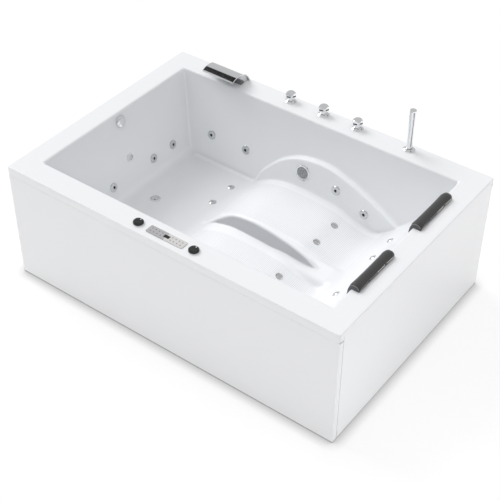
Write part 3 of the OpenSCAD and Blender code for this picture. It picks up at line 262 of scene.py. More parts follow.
def band_group():
    """Node group for a mask that is 1 where the value is between Low and High, with edges that fade."""
    tree = bpy.data.node_groups.new("band_mask", "ShaderNodeTree")
    for name in ("Value", "Low", "High", "Blur"):
        tree.interface.new_socket(name, in_out="INPUT", socket_type="NodeSocketFloat")
    tree.interface.new_socket("Mask", in_out="OUTPUT", socket_type="NodeSocketFloat")
    given = tree.nodes.new("NodeGroupInput").outputs
    middle = calculated(tree, "MULTIPLY", calculated(tree, "ADD", given["Low"], given["High"]), 0.5)
    half = calculated(tree, "MULTIPLY", calculated(tree, "SUBTRACT", given["High"], given["Low"]), 0.5)
    off = calculated(tree, "ABSOLUTE", calculated(tree, "SUBTRACT", given["Value"], middle))
    ramp = tree.nodes.new("ShaderNodeMapRange")
    ramp.interpolation_type = "SMOOTHSTEP"
    tree.links.new(off, ramp.inputs["Value"])
    tree.links.new(half, ramp.inputs["From Min"])
    tree.links.new(calculated(tree, "SUBTRACT", half, given["Blur"]), ramp.inputs["From Max"])
    tree.links.new(ramp.outputs[0], tree.nodes.new("NodeGroupOutput").inputs["Mask"])
    return tree


band_mask = band_group()


def between(tree, value, low, high, blur):
    """A mask that is 1 from low to high and fades to 0 within the blur."""
    group = tree.nodes.new("ShaderNodeGroup")
    group.node_tree = band_mask
    tree.links.new(value, group.inputs["Value"])
    for name, number in (("Low", low), ("High", high), ("Blur", blur)):
        group.inputs[name].default_value = number
    return group.outputs["Mask"]


APRON_PAINT = (0.895, 0.90, 0.912)
APRON_CONTACT_SHADOW = (0.40, 0.40, 0.41)
APRON_SHADOW_HEIGHT = 7 * MM
APRON_BLUR = 1 * MM


def apron_material():
    """Painted apron sheet, with a contact shadow painted along its foot where it stands on the floor."""
    material, tree, shader = new_material("apron_sheet", roughness=0.32, coat=0.2)
    # Painted shadow: the sheet's lowest millimetres are coloured dark.
    foot = between(tree, place_of(tree)[2], -APRON_SHADOW_HEIGHT, APRON_SHADOW_HEIGHT, APRON_BLUR)
    tree.links.new(colored(tree, foot, APRON_PAINT, APRON_CONTACT_SHADOW), shader.inputs["Base Color"])
    return material


BASIN_COAT_ROUGHNESS = 0.06
PAINTED_HIGHLIGHT_COLOR = (0.96, 0.975, 1)
PAINTED_SHADE_COLOR = (0.53, 0.54, 0.56)
PAD_BLUR = 6 * MM
SEAM_HALF = 3 * MM
SEAM_BLUR = 2 * MM
DOT_COLOR = (0.50, 0.51, 0.53)
DOT_SHADE = 0.7
SEAM_SHADE = 0.2
DOT_BUMP = 0.5
DOT_DEPTH = 0.6 * MM


def acrylic_with_painted_shading(tree):
    """The acrylic's colour, with painted highlights where the sheet's painted light is above nought and
    painted shade where it is below.
    """
    shading_here = tree.nodes.new("ShaderNodeAttribute")
    shading_here.attribute_name = "tone"
    last = ACRYLIC
    for end, color in ((1, PAINTED_HIGHLIGHT_COLOR), (-1, PAINTED_SHADE_COLOR)):
        ramp = tree.nodes.new("ShaderNodeMapRange")
        ramp.inputs["From Max"].default_value = end
        tree.links.new(shading_here.outputs["Fac"], ramp.inputs["Value"])
        last = colored(tree, ramp.outputs[0], last, color)
    return last


def basin_material():
    """Acrylic with the slip-proof dots pressed into both seats, and a seam at the pads' rear end."""
    material, tree, shader = new_material("basin_acrylic", roughness=0.34, coat=0.22)
    shader.inputs["Coat Roughness"].default_value = BASIN_COAT_ROUGHNESS
    x, y, _ = place_of(tree)
    across = calculated(tree, "ABSOLUTE", y)
    wave = math.pi / (PAD_PITCH * MM)
    waves = [calculated(tree, "SINE", calculated(tree, "MULTIPLY", calculated(tree, way, x, across), wave))
             for way in ("ADD", "SUBTRACT")]
    dots = calculated(tree, "MAXIMUM", calculated(tree, "MULTIPLY", *waves), 0)
    front, rear = (PAD_MIDDLE - PAD_REACH) * MM, (PAD_MIDDLE + PAD_REACH) * MM
    beside = between(tree, across, PAD_SIDES[0] * MM, PAD_SIDES[1] * MM, PAD_BLUR)
    pad = calculated(tree, "MULTIPLY", between(tree, x, front, rear, PAD_BLUR), beside)
    dots = calculated(tree, "MULTIPLY", dots, pad)
    seam = between(tree, x, rear - SEAM_HALF, rear + SEAM_HALF, SEAM_BLUR)
    seam = calculated(tree, "MULTIPLY", seam, beside)
    shade = calculated(tree, "MAXIMUM", calculated(tree, "MULTIPLY", dots, DOT_SHADE),
                       calculated(tree, "MULTIPLY", seam, SEAM_SHADE))
    # Under the dots lies the acrylic with its painted highlights and shade.
    tree.links.new(colored(tree, shade, acrylic_with_painted_shading(tree), DOT_COLOR), shader.inputs["Base Color"])
    bump = tree.nodes.new("ShaderNodeBump")
    bump.inputs["Strength"].default_value = DOT_BUMP
    bump.inputs["Distance"].default_value = DOT_DEPTH
    tree.links.new(dots, bump.inputs["Height"])
    tree.links.new(bump.outputs["Normal"], shader.inputs["Normal"])
    return material


apron_sheet = apron_material()
basin_acrylic = basin_material()


# Solids that keep their shape and get a finish

FINISH = {
    "acrylic": acrylic_rim, "apron_sheet": apron_sheet, "frame_steel": frame_steel, "board": board_wood,
    "bright_chrome": bright_chrome, "raw_steel": raw_steel, "valve_brass": valve_brass,
    "foot_rubber": foot_rubber, "pipe_plastic": pipe_plastic, "grey_plastic": grey_plastic,
    "waste_plastic": waste_plastic, "air_hose": air_hose, "black_plastic": black_plastic,
    "white_plastic": white_plastic, "panel_face": panel_silver, "headrest_skin": headrest_skin,
    "lamp_glass": lamp_glass, "pump_plastic": pump_plastic, "motor_paint": motor_paint,
    "rotor_steel": raw_steel,
}
SILVERED = {"jet_rings": jet_silver, "small_jet_faces": small_jet_silver, "drain_plug": small_jet_silver}
for node, item in nodes.items():
    paint(item, SILVERED.get(node, FINISH[SLOT_OF[node]]))


# Control panel and air knobs: masks in their materials mark what is printed or let in

def marked(name, base, marks):
    """A material with marks on it: each is a colour and a function that gives its mask from x and y."""
    material, tree, shader = new_material(name, roughness=0.3)
    x, y, _ = place_of(tree)
    last = base
    for color, mask in marks:
        last = colored(tree, mask(tree, x, y), last, color)
    tree.links.new(last, shader.inputs["Base Color"])
    return material


MARK_BLUR = 0.6 * MM


def patch(middle, off, half):
    """A rectangle's mask: its offset from the fitting's middle and its half sizes, in millimetres."""
    def mask(tree, x, y):
        spans = [between(tree, value, start + (shift - reach) * MM, start + (shift + reach) * MM, MARK_BLUR)
                 for value, start, shift, reach in zip((x, y), middle, off, half)]
        return calculated(tree, "MULTIPLY", *spans)
    return mask


ICON_PITCH = 18 * MM
ICON_ROW = 9 * MM
ICON_RADIUS = 3 * MM
ICON_SHIFT = 20 * ICON_PITCH
ICON_BLUR = 0.5 * MM


def icons(middle, start, end):
    """Two rows of round marks between two places along the panel, in millimetres from its middle."""
    def mask(tree, x, y):
        along = calculated(tree, "ADD", calculated(tree, "SUBTRACT", x, middle.x), ICON_SHIFT)
        off_x = calculated(tree, "SUBTRACT", calculated(tree, "MODULO", along, ICON_PITCH), ICON_PITCH / 2)
        across = calculated(tree, "ABSOLUTE", calculated(tree, "SUBTRACT", y, middle.y))
        off_y = calculated(tree, "SUBTRACT", across, ICON_ROW)
        dot = calculated(tree, "LESS_THAN", distance_of(tree, off_x, off_y), ICON_RADIUS)
        span = between(tree, x, middle.x + start * MM, middle.x + end * MM, ICON_BLUR)
        return calculated(tree, "MULTIPLY", dot, span)
    return mask


PANEL_LIGHT = (0.66, 0.65, 0.64)
PANEL_DARK = (0.45, 0.44, 0.46)
LEFT_ICON = (0.12, 0.12, 0.13)
RIGHT_ICON = (0.20, 0.20, 0.20)
DISPLAY_BLACK = (0.012, 0.013, 0.014)
KNOB_BLACK = (0.018, 0.020, 0.020)
NOTCH_WHITE = (0.80, 0.80, 0.80)

# Offsets from the fitting's middle, then half sizes, and the icons' starts and ends, in millimetres
DARK_HALF = ((-62, 0), (62, 30))
DISPLAY = ((2, 0), (15, 9))
LEFT_ICONS = (-91, -18)
RIGHT_ICONS = (18, 91)
NOTCH = ((3, 14), (2.5, 4))

panel_middle = middle_of("control_panel")
paint(nodes["control_panel"], marked("panel_face", PANEL_LIGHT, [
    (PANEL_DARK, patch(panel_middle, *DARK_HALF)),
    (LEFT_ICON, icons(panel_middle, *LEFT_ICONS)),
    (RIGHT_ICON, icons(panel_middle, *RIGHT_ICONS)),
    (DISPLAY_BLACK, patch(panel_middle, *DISPLAY))]))
for node in ("air_knob_left", "air_knob_right"):
    notch = patch(middle_of(node), *NOTCH)
    paint(nodes[node], marked(node + "_face", KNOB_BLACK, [(NOTCH_WHITE, notch)]))


# Shell: one formed sheet. Its face is where a field of distances to the basin's walls, seats, armrests,
# divider and rim is nought. A grid is drawn down on that face and evened out. Here in millimetres.

HALF_L = 900.0
HALF_W = 625.0

# Where the walls meet the rim's level and the armrests' faces meet the floor, and how far they lean
FOOT_TOP = -789.8
FOOT_LEAN = math.radians(13.4)
SIDE_LEAN = math.radians(12)
ARM_Y = 404.0
ARM_LEAN = math.radians(6.8)

# Where the seats start along the tub, and how far they run
SEAT_X = -267.0
SEAT_RUN = 1065.0

# Heights along the tub, as shares of the seats' run and of the basin's depth
SEAT_SHARES = [
    (-0.12, 0), (-0.08, 0), (-0.04, 0), (0, 0.004), (0.039, 0.070), (0.084, 0.129), (0.167, 0.190),
    (0.251, 0.206), (0.362, 0.199), (0.473, 0.169), (0.541, 0.110), (0.613, 0.059), (0.667, 0.054),
    (0.715, 0.110), (0.783, 0.250), (0.822, 0.335), (0.861, 0.450), (0.908, 0.607), (0.946, 0.742),
    (0.975, 0.864), (0.988, 1)]
ARM_SHARES = [
    (-0.008, -0.02), (0.022, 0.155), (0.060, 0.267), (0.132, 0.438), (0.234, 0.560), (0.368, 0.593),
    (0.481, 0.532), (0.625, 0.398), (0.773, 0.211), (0.81, 0.16)]
DIVIDER_SHARES = [
    (0.026, 0.07), (0.100, 0.228), (0.170, 0.335), (0.257, 0.378), (0.333, 0.377), (0.410, 0.350),
    (0.482, 0.310), (0.542, 0.256), (0.587, 0.200), (0.630, 0.10)]
RIDGE_SHARES = [
    (0.36, 0.06), (0.40, 0.13), (0.44, 0.177), (0.55, 0.150), (0.64, 0.133), (0.722, 0.122)]

# The divider is a crescent: half its width is the rise of an arc over its run
DIVIDER_SPAN_SHARES = (0.028, 0.627)
DIVIDER_RUN = (DIVIDER_SPAN_SHARES[1] - DIVIDER_SPAN_SHARES[0]) * SEAT_RUN
DIVIDER_MIDDLE = SEAT_X + (DIVIDER_SPAN_SHARES[0] + DIVIDER_SPAN_SHARES[1]) / 2 * SEAT_RUN
DIVIDER_HALF = 30.0
DIVIDER_ARC = (DIVIDER_RUN * DIVIDER_RUN / 4 + DIVIDER_HALF * DIVIDER_HALF) / (2 * DIVIDER_HALF)
DIVIDER_LEAN = math.radians(14)
DIVIDER_FOOT_SHARE = 0.2
DIVIDER_FOOT = FLOOR + DIVIDER_FOOT_SHARE * DEPTH
RIDGE_HALF = 66.0
RIDGE_STEEPNESS = 0.8

# How wide the bends are that join the sheet's faces
WELL_BEND = 58
SIDE_BEND = 12
ARM_BEND = 8
ARM_FOOT_BEND = 9
RIDGE_BEND = 30
RIDGE_FOOT_BEND = 26
DIVIDER_BEND = 3
DIVIDER_FOOT_BEND = 6
RIM_BEND = 10

PROFILE_STEPS = 12
PROFILE_REACH = 40


def profile(shares):
    """Heights and slopes along the tub of a smooth line through a list of places."""
    places = np.array([(SEAT_X + x * SEAT_RUN, FLOOR + z * DEPTH) for x, z in shares])
    padded = np.vstack([places[:1], places, places[-1:]])
    t = np.linspace(0, 1, PROFILE_STEPS, endpoint=False)[:, None]
    line = np.vstack([
        (2 * b + (c - a) * t + (2 * a - 5 * b + 4 * c - d) * t ** 2 + (3 * b - a - 3 * c + d) * t ** 3) / 2
        for a, b, c, d in zip(padded, padded[1:], padded[2:], padded[3:])] + [places[-1:]])
    before = line[0] - (line[1] - line[0]) * PROFILE_REACH
    after = line[-1] + (line[-1] - line[-2]) * PROFILE_REACH
    line = np.vstack([before, line, after])
    slopes = np.gradient(line[:, 1], line[:, 0])
    return line[:, 0], line[:, 1], slopes


seat_profile = profile(SEAT_SHARES)
arm_profile = profile(ARM_SHARES)
divider_profile = profile(DIVIDER_SHARES)
ridge_profile = profile(RIDGE_SHARES)


def above(line, x, z):
    slope = np.interp(x, line[0], line[2])
    return (z - np.interp(x, line[0], line[1])) / np.sqrt(1 + slope * slope)


def leaning(out, up, lean):
    return out * math.cos(lean) + up * math.sin(lean)


def soft_max(a, b, bend):
    share = np.clip(0.5 + 0.5 * (a - b) / bend, 0, 1)
    return a * share + b * (1 - share) + bend * share * (1 - share)


def soft_min(a, b, bend):
    return -soft_max(-a, -b, bend)


def distances(places):
    """Distances to the sheet's single faces, above nought in the open space beside or over each."""
    x = places[..., 0]
    y = np.abs(places[..., 1])
    z = places[..., 2]
    off_arc = np.hypot(x - DIVIDER_MIDDLE, y + DIVIDER_ARC - DIVIDER_HALF) - DIVIDER_ARC
    return {
        "foot": leaning(x - FOOT_TOP, z - RIM, FOOT_LEAN),
        "side": leaning(SIDE_TOP - y, z - RIM, SIDE_LEAN),
        "seat": above(seat_profile, x, z),
        "arm_top": above(arm_profile, x, z),
        "arm_face": leaning(ARM_Y - y, z - FLOOR, ARM_LEAN),
        "divider_top": above(divider_profile, x, z),
        "divider_face": leaning(off_arc, z - DIVIDER_FOOT, DIVIDER_LEAN),
        "ridge_top": above(ridge_profile, x, z),
        "ridge_face": (y - RIDGE_HALF) * RIDGE_STEEPNESS,
        "rim": z - RIM,
    }


def field(places):
    """Distance from the sheet's face, above nought in the open space over it."""
    off = distances(places)
    space = soft_min(off["foot"], off["seat"], WELL_BEND)
    space = soft_min(space, off["side"], SIDE_BEND)
    for form, bend, foot_bend in (
            ("arm", ARM_BEND, ARM_FOOT_BEND), ("ridge", RIDGE_BEND, RIDGE_FOOT_BEND),
            ("divider", DIVIDER_BEND, DIVIDER_FOOT_BEND)):
        space = soft_min(space, soft_max(off[form + "_top"], off[form + "_face"], bend), foot_bend)
    return soft_max(space, off["rim"], RIM_BEND)


FACING_STEP = 0.5
SLOPE_STEP = 0.4
SLOPE_LEAST = 0.05


def facing(place):
    """The way that the sheet faces at a place."""
    ahead = np.array([field(place + FACING_STEP * way) for way in np.eye(3)]) - field(place)
    return ahead / np.linalg.norm(ahead)


def drawn_to_face(places, rounds=1, level=0):
    """Places moved straight onto the sheet's face, or to a level over or under it."""
    for _ in range(rounds):
        here = field(places)
        slope = np.stack([field(places + SLOPE_STEP * way) - here for way in np.eye(3)], axis=-1) / SLOPE_STEP
        size = np.maximum((slope * slope).sum(axis=-1), SLOPE_LEAST)
        places = places - ((here - level) / size)[..., None] * slope
    return places


# Painted light: highlights and shade painted into the sheet's colour beside its flat faces, from -1 to 1. Its
# bands are in millimetres.

BAND_CORE = 1.4
WALL_BEND_BAND = 9
ARM_TOP_BAND = 6
ARM_FOOT_BAND = 7
ARM_FOOT_HIGHLIGHT = 0.5
DIVIDER_TOP_BAND = 5
DIVIDER_TOP_HIGHLIGHT = 0.6
DIVIDER_SHADE_BAND = 4
DIVIDER_SHADE_FROM = 4
DIVIDER_SHADE_FADE = 10
PAD_BAND = 6
PAD_TONE = 0.5
SEAT_BAND = 30
WELL_PAINTED_SHADE = 0.30
WELL_FADE = 100
BEND_PAINTED_SHADE = 0.24
BEND_MIDDLE = 435.0
BEND_FADE = 110
BEND_CORE = 1.2


def close_to(distance, reach):
    return np.clip(BAND_CORE - BAND_CORE * np.abs(distance) / reach, 0, 1)


def past(distance, reach):
    return np.clip(0.5 + distance / reach, 0, 1)


def tone(places):
    """Highlights are painted on the bends, the armrests' tops and feet and the divider's top, and the pads
    are a little lighter. Shade is painted on the divider's faces, the foot well and the seats' rear bend.
    """
    off = distances(places)
    x = places[..., 0]
    wall_bends = np.maximum(close_to(off["foot"], WALL_BEND_BAND), close_to(off["seat"], WALL_BEND_BAND))
    wall_bends = close_to(off["side"], WALL_BEND_BAND) * wall_bends
    arm_tops = close_to(off["arm_top"], ARM_TOP_BAND)
    arm_tops = arm_tops * past(-off["arm_face"], ARM_TOP_BAND) * past(off["side"], ARM_TOP_BAND)
    arm_feet = close_to(off["arm_face"], ARM_FOOT_BAND) * close_to(off["seat"], ARM_FOOT_BAND)
    divider_top = close_to(off["divider_top"], DIVIDER_TOP_BAND)
    divider_top = divider_top * past(-off["divider_face"], DIVIDER_TOP_BAND)
    pads = close_to(off["seat"], PAD_BAND) * np.minimum(off["arm_face"], off["divider_face"]).clip(0, 1)
    pads = pads * (np.abs(x - PAD_MIDDLE) < PAD_REACH)
    # Painted highlights; the pads are a little lighter under their dots.
    lighter = np.maximum.reduce([
        wall_bends, arm_tops, ARM_FOOT_HIGHLIGHT * arm_feet, DIVIDER_TOP_HIGHLIGHT * divider_top, PAD_TONE * pads])

    # Painted shade on the divider's faces, the foot well and the seats' rear bend.
    under_top = np.clip((-DIVIDER_SHADE_FROM - off["divider_top"]) / DIVIDER_SHADE_FADE, 0, 1)
    divider = close_to(off["divider_face"], DIVIDER_SHADE_BAND) * under_top
    on_seat = close_to(off["seat"], SEAT_BAND)
    well = on_seat * np.clip((PAD_MIDDLE - PAD_REACH - x) / WELL_FADE, 0, 1)
    bend = on_seat * np.clip(BEND_CORE - np.abs(x - BEND_MIDDLE) / BEND_FADE, 0, 1)
    darker = np.maximum.reduce([divider, WELL_PAINTED_SHADE * well, BEND_PAINTED_SHADE * bend])
    return lighter * (1 - np.minimum(2 * darker, 1)) - darker


def keep_painted_shading(item):
    """The sheet's painted light and shade kept on its points, for its material."""
    spots = np.empty(len(item.data.vertices) * 3, dtype=np.float32)
    item.data.vertices.foreach_get("co", spots)
    marks = item.data.attributes.new("tone", "FLOAT", "POINT")
    marks.data.foreach_set("value", tone(spots.reshape(-1, 3) / MM).astype(np.float32))


# Grid: its lines, and its stretches with closer lines, each from, to and how much closer

GRID_COLUMNS = 292
GRID_ROWS = 272
GRID_ROUNDS = 10
GRID_EASE = 0.5
GRID_EDGE = 6.0
CLOSER_ALONG = [(-806, -780, 5), (-780, -680, 3.2), (-275, -215, 0.8), (480, 790, 1.4), (775, 800, 4)]
CLOSER_ACROSS = [
    (500, 523, 5), (404, 500, 4), (0, 27, 1), (DIVIDER_HALF - 18, DIVIDER_HALF + 5, 9), (60, 72, 1.5)]
CLOSER_FADE = 8
FINE_STEPS = 4001
DIVIDER_REACH = 130
DIVIDER_LEAST = 6
SEARCH_UNDER = 60
SEARCH_OVER = 1
SEARCH_HALVINGS = 26


def grid_lines(reach, count, closer):
    """Grid lines from -reach to reach, closer together in the stretches given."""
    fine = np.linspace(-reach, reach, FINE_STEPS)
    weight = np.ones_like(fine)
    for low, high, more in closer:
        inside = np.minimum(fine - low + CLOSER_FADE, high + CLOSER_FADE - fine)
        weight += more * np.clip(inside / (2 * CLOSER_FADE), 0, 1)
    run = np.concatenate([[0], np.cumsum((weight[1:] + weight[:-1]) / 2)])
    return np.interp(np.linspace(0, run[-1], count), run, fine)


def divider_half(x):
    """Half the divider's thickness at a place along the tub."""
    rise = np.sqrt(np.maximum(DIVIDER_ARC * DIVIDER_ARC - (x - DIVIDER_MIDDLE) ** 2, 0))
    return rise - DIVIDER_ARC + DIVIDER_HALF


def beside_divider(x, y):
    """Grid lines drawn together so that they run along the divider's curved faces."""
    half = np.maximum(divider_half(x), DIVIDER_LEAST)
    off = np.abs(y)
    near = off * half / DIVIDER_HALF
    far = half + (off - DIVIDER_HALF) * (DIVIDER_REACH - half) / (DIVIDER_REACH - DIVIDER_HALF)
    moved = np.where(off < DIVIDER_HALF, near, np.where(off < DIVIDER_REACH, far, off))
    return np.sign(y) * moved


def sheet_grid():
    """The grid's places on the sheet's face, found by halving the height and then evened out."""
    mirrored = [(-high, -low, more) for low, high, more in CLOSER_ACROSS]
    along = grid_lines(HALF_L - GRID_EDGE, GRID_COLUMNS, CLOSER_ALONG)
    across = grid_lines(HALF_W - GRID_EDGE, GRID_ROWS, CLOSER_ACROSS + mirrored)
    x, y = np.meshgrid(along, across)
    y = beside_divider(x, y)
    low = np.full(x.shape, FLOOR - SEARCH_UNDER)
    high = np.full(x.shape, RIM + SEARCH_OVER)
    for _ in range(SEARCH_HALVINGS):
        middle = (low + high) / 2
        under = field(np.stack([x, y, middle], axis=-1)) < 0
        low = np.where(under, middle, low)
        high = np.where(under, high, middle)
    places = np.stack([x, y, (low + high) / 2], axis=-1)
    for _ in range(GRID_ROUNDS):
        inner = places[1:-1, 1:-1]
        mean = (places[:-2, 1:-1] + places[2:, 1:-1] + places[1:-1, :-2] + places[1:-1, 2:]) / 4
        places[1:-1, 1:-1] = drawn_to_face(inner + GRID_EASE * (mean - inner))
    return places


# Openings that show behind a fitting: middle and radius

def on_foot_wall(y, z):
    return (FOOT_TOP + (RIM - z) * math.tan(FOOT_LEAN), y, z)


def on_long_wall(side, x, z):
    return (x, side * (SIDE_TOP - (RIM - z) * math.tan(SIDE_LEAN)), z)


def on_arm(side, along_share, up_share):
    z = FLOOR + up_share * DEPTH
    return (SEAT_X + along_share * SEAT_RUN, side * (ARM_Y + (z - FLOOR) * math.tan(ARM_LEAN)), z)


JET_HOLE = 16.9
JET_ROWS = (-300, -150, 150, 300)
FOOT_JET_Z = 305
WALL_JET_X = (-571, -354)
WALL_JET_Z = 343
ARM_JET_SHARES = ((0.440, 0.363), (0.598, 0.220))
SMALL_JET_HOLE = 9.3
SMALL_JET_PLACES = ((-337, FLOOR), (280.4, 259), (582.9, 319))
OVERFLOW_HOLE = 24.3
OVERFLOW_Z = 583
LAMP_HOLE = 18.3
LAMP_Z = 390
SUCTION_HOLE = 36.3
SUCTION_SHARES = (0.257, 0.405)
DRAIN_HOLE = 23.3
DRAIN_X = -582
OPENINGS = (
    [(on_foot_wall(y, FOOT_JET_Z), JET_HOLE) for y in JET_ROWS]
    + [(on_long_wall(side, x, WALL_JET_Z), JET_HOLE) for side in (-1, 1) for x in WALL_JET_X]
    + [(on_arm(side, *shares), JET_HOLE) for side in (-1, 1) for shares in ARM_JET_SHARES]
    + [((x, y, z), SMALL_JET_HOLE) for x, z in SMALL_JET_PLACES for y in JET_ROWS]
    + [(on_foot_wall(0, OVERFLOW_Z), OVERFLOW_HOLE), (on_foot_wall(0, LAMP_Z), LAMP_HOLE),
       (on_arm(1, *SUCTION_SHARES), SUCTION_HOLE), ((DRAIN_X, 0, FLOOR), DRAIN_HOLE)])
OPENING_ROUNDS = 6
OPENING_REACH = 40
OPENING_DEPTH = 30
GATHER_WITHIN = 7


def with_openings(places):
    """The grid with its points gathered on each opening's edge, and which points lie inside one."""
    flat = places.reshape(-1, 3)
    inside = np.zeros(len(flat), dtype=bool)
    edge = np.zeros(len(flat), dtype=bool)
    for middle, radius in OPENINGS:
        middle = drawn_to_face(np.array([middle], dtype=float), OPENING_ROUNDS)[0]
        axis = facing(middle)
        off = flat - middle
        depth = off @ axis
        out = off - depth[:, None] * axis
        reach = np.linalg.norm(out, axis=1)
        near = (np.abs(depth) < OPENING_DEPTH) & (reach < radius + OPENING_REACH)
        gather = near & (np.abs(reach - radius) < GATHER_WITHIN)
        flat[gather] = middle + depth[gather, None] * axis + out[gather] / reach[gather, None] * radius
        edge |= gather
        inside |= near & (reach <= radius - GATHER_WITHIN)
    flat[edge] = drawn_to_face(flat[edge])
    return inside, edge


# Rim: the sheet's outer edge, extruded down into the lip

EDGE = 4.0
EDGE_STEPS = 3
CORNER = 8.0
LIP_LONG = 43.0
LIP_END = 25.0
LIP_ROWS = 5
ON_EDGE_WITHIN = 0.1


def on_outline(place, inset, z):
    """The place moved to the tub's rounded outline, or inside it by the inset."""
    off = Vector((abs(place.x), abs(place.y))) / MM - Vector((HALF_L - CORNER, HALF_W - CORNER))
    if off.x > 0 and off.y > 0:
        spot = Vector((HALF_L - CORNER, HALF_W - CORNER)) + off.normalized() * (CORNER - inset)
    elif off.x > 0:
        spot = Vector((HALF_L - inset, abs(place.y) / MM))
    else:
        spot = Vector((abs(place.x) / MM, HALF_W - inset))
    return Vector((math.copysign(spot.x, place.x), math.copysign(spot.y, place.y), z)) * MM


def on_rim_edge(vertex):
    over_x = abs(vertex.co.x) - (HALF_L - GRID_EDGE) * MM
    over_y = abs(vertex.co.y) - (HALF_W - GRID_EDGE) * MM
    return max(over_x, over_y) > -ON_EDGE_WITHIN * MM


def lip_depth(place):
    return LIP_LONG if abs(place.y) > (HALF_W - CORNER) * MM else LIP_END


def formed_shell():
    """The sheet's face with its openings, its rim and its lip."""
    places = sheet_grid()
    inside, edge = with_openings(places)
    bpy.ops.mesh.primitive_grid_add(x_subdivisions=GRID_COLUMNS - 1, y_subdivisions=GRID_ROWS - 1, size=1)
    item = bpy.context.object
    item.name = "shell_face"
    item.data.vertices.foreach_set("co", (places * MM).ravel())

    def in_opening(face):
        return any(inside[i] for i in face.vertices) or all(edge[i] for i in face.vertices)

    select_where(item, "FACE", in_opening)
    bpy.ops.mesh.delete(type="FACE")
    leave_edit()

    select_where(item, "VERT", on_rim_edge)
    leave_edit()
    for vertex in item.data.vertices:
        if vertex.select:
            vertex.co = on_outline(vertex.co, GRID_EDGE, RIM)
    turns = [math.radians(90 * turn / EDGE_STEPS) for turn in range(EDGE_STEPS + 1)]
    steps = [(EDGE * (1 - math.sin(turn)), EDGE * (1 - math.cos(turn)), 0) for turn in turns]
    steps += [(0, EDGE, (row + 1) / LIP_ROWS) for row in range(LIP_ROWS)]
    for inset, drop, share in steps:
        enter_edit()
        bpy.ops.mesh.extrude_region_move(TRANSFORM_OT_translate={"value": (0, 0, 0)})
        leave_edit()
        for vertex in item.data.vertices:
            if vertex.select:
                depth = drop + share * (lip_depth(vertex.co) - drop)
                vertex.co = on_outline(vertex.co, inset, RIM - depth)
    return item


UNDER_LEAST = 3.0
UNDER_ROUNDS = 4
RAY_START = 0.5 * MM


def under_side(node):
    """The faces of a solid that lie under its own sheet, kept a little under the sheet's face."""
    item = twin(node, node + "_under")
    tree = BVHTree.FromPolygons(
        [vertex.co for vertex in item.data.vertices], [tuple(face.vertices) for face in item.data.polygons])

    def open_above(face):
        return tree.ray_cast(face.center + face.normal * RAY_START, Vector((0, 0, 1)))[0] is None

    select_where(item, "FACE", open_above)
    bpy.ops.mesh.delete(type="FACE")
    leave_edit()
    spots = np.empty(len(item.data.vertices) * 3)
    item.data.vertices.foreach_get("co", spots)
    spots = spots.reshape(-1, 3) / MM
    high = field(spots) > -UNDER_LEAST
    spots[high] = drawn_to_face(spots[high], UNDER_ROUNDS, -UNDER_LEAST)
    item.data.vertices.foreach_set("co", (spots * MM).ravel())
    return item


shell_face = formed_shell()
keep_painted_shading(shell_face)
shell = joined([shell_face, under_side("shell")], "formed_shell")
smooth(shell, angle=55)
stand_for(shell, "shell", basin_acrylic)


# Headrests: the padded saddle with a lighter end, and a welt along its rear and near edges, with a highlight
# painted on the rear welt's far half

WELT_RADIUS = 1.3 * MM
WELT_RESOLUTION = 2
REAR_EDGE = 0.5 * MM
REAR_WELT_OUT = Vector((1.2, 0, 1)) * MM
NEAR_WELT_FROM = (RIM + 6) * MM
NEAR_WELT_OUT = Vector((0, 0.5, -1)) * MM
END_FACING = -0.8


def welt(name, places):
    """A round welt through a row of places."""
    curve = bpy.data.curves.new(name, "CURVE")
    curve.dimensions = "3D"
    curve.bevel_depth = WELT_RADIUS
    curve.bevel_resolution = WELT_RESOLUTION
    curve.use_fill_caps = True
    spline = curve.splines.new("POLY")
    spline.points.add(len(places) - 1)
    for point, place in zip(spline.points, places):
        point.co = (*place, 1)
    item = bpy.data.objects.new(name, curve)
    scene.collection.objects.link(item)
    pick(item)
    bpy.ops.object.convert(target="MESH")
    return bpy.context.object


def rear_edge(row):
    """The top of a row's rearmost edge."""
    far = max(place.x for place in row)
    return max((place for place in row if place.x > far - REAR_EDGE), key=lambda place: place.z)


def headrest(node):
    item = twin(node, node + "_pad")
    smooth(item, angle=50)
    rows = {}
    for vertex in item.data.vertices:
        rows.setdefault(round(vertex.co.y / MM), []).append(vertex.co.copy())
    stations = sorted(rows)
    rear = [rear_edge(rows[station]) + REAR_WELT_OUT for station in stations[:-1]]
    near = [place + NEAR_WELT_OUT for place in rows[stations[0]] if place.z > NEAR_WELT_FROM]
    near.sort(key=lambda place: place.x)
    stand_for(item, node, headrest_skin)
    paint_where(item, headrest_end, lambda face: face.normal.y < END_FACING)
    # The rear welt's far half is coloured light, as a painted highlight.
    half = len(rear) // 2
    for name, places, skin in (
            ("_rear_welt", rear[:half + 1], piping_skin), ("_far_welt", rear[half:], piping_light),
            ("_near_welt", near, piping_skin)):
        hang(welt(node + name, places), BODY_OF[node], skin)


for node in ("headrest_front", "headrest_back"):
    headrest(node)


# Jet nozzles: silver balls, with shade painted black into and around their bore

BORE_REACH = 10.5 * MM
BORE_MOUTH = 7 * MM
BORE_INWARD = 0.3


def off_axis(place, middle, axis):
    """A place's offset straight out from an axis through the middle."""
    off = place - middle
    return off - axis * off.dot(axis)


def nozzle(node):
    item = twin(node, node + "_ball")
    smooth(item, angle=35)
    middle = middle_of(node)
    axis = Vector(facing(np.array(middle) / MM))

    # Painted shade: faces turned into the bore, and every face near its mouth, are coloured black.
    def in_bore_shade(face):
        away = off_axis(face.center, middle, axis)
        inward = away.length < BORE_REACH and away.dot(face.normal) < BORE_INWARD * away.length
        return inward or away.length < BORE_MOUTH

    stand_for(item, node, jet_silver)
    paint_where(item, jet_dark, in_bore_shade)


for node in nodes:
    if "_jet_nozzle_" in node:
        nozzle(node)


# Suction cover: a grey strainer in a bright ring

STRAINER_REACH = 31 * MM


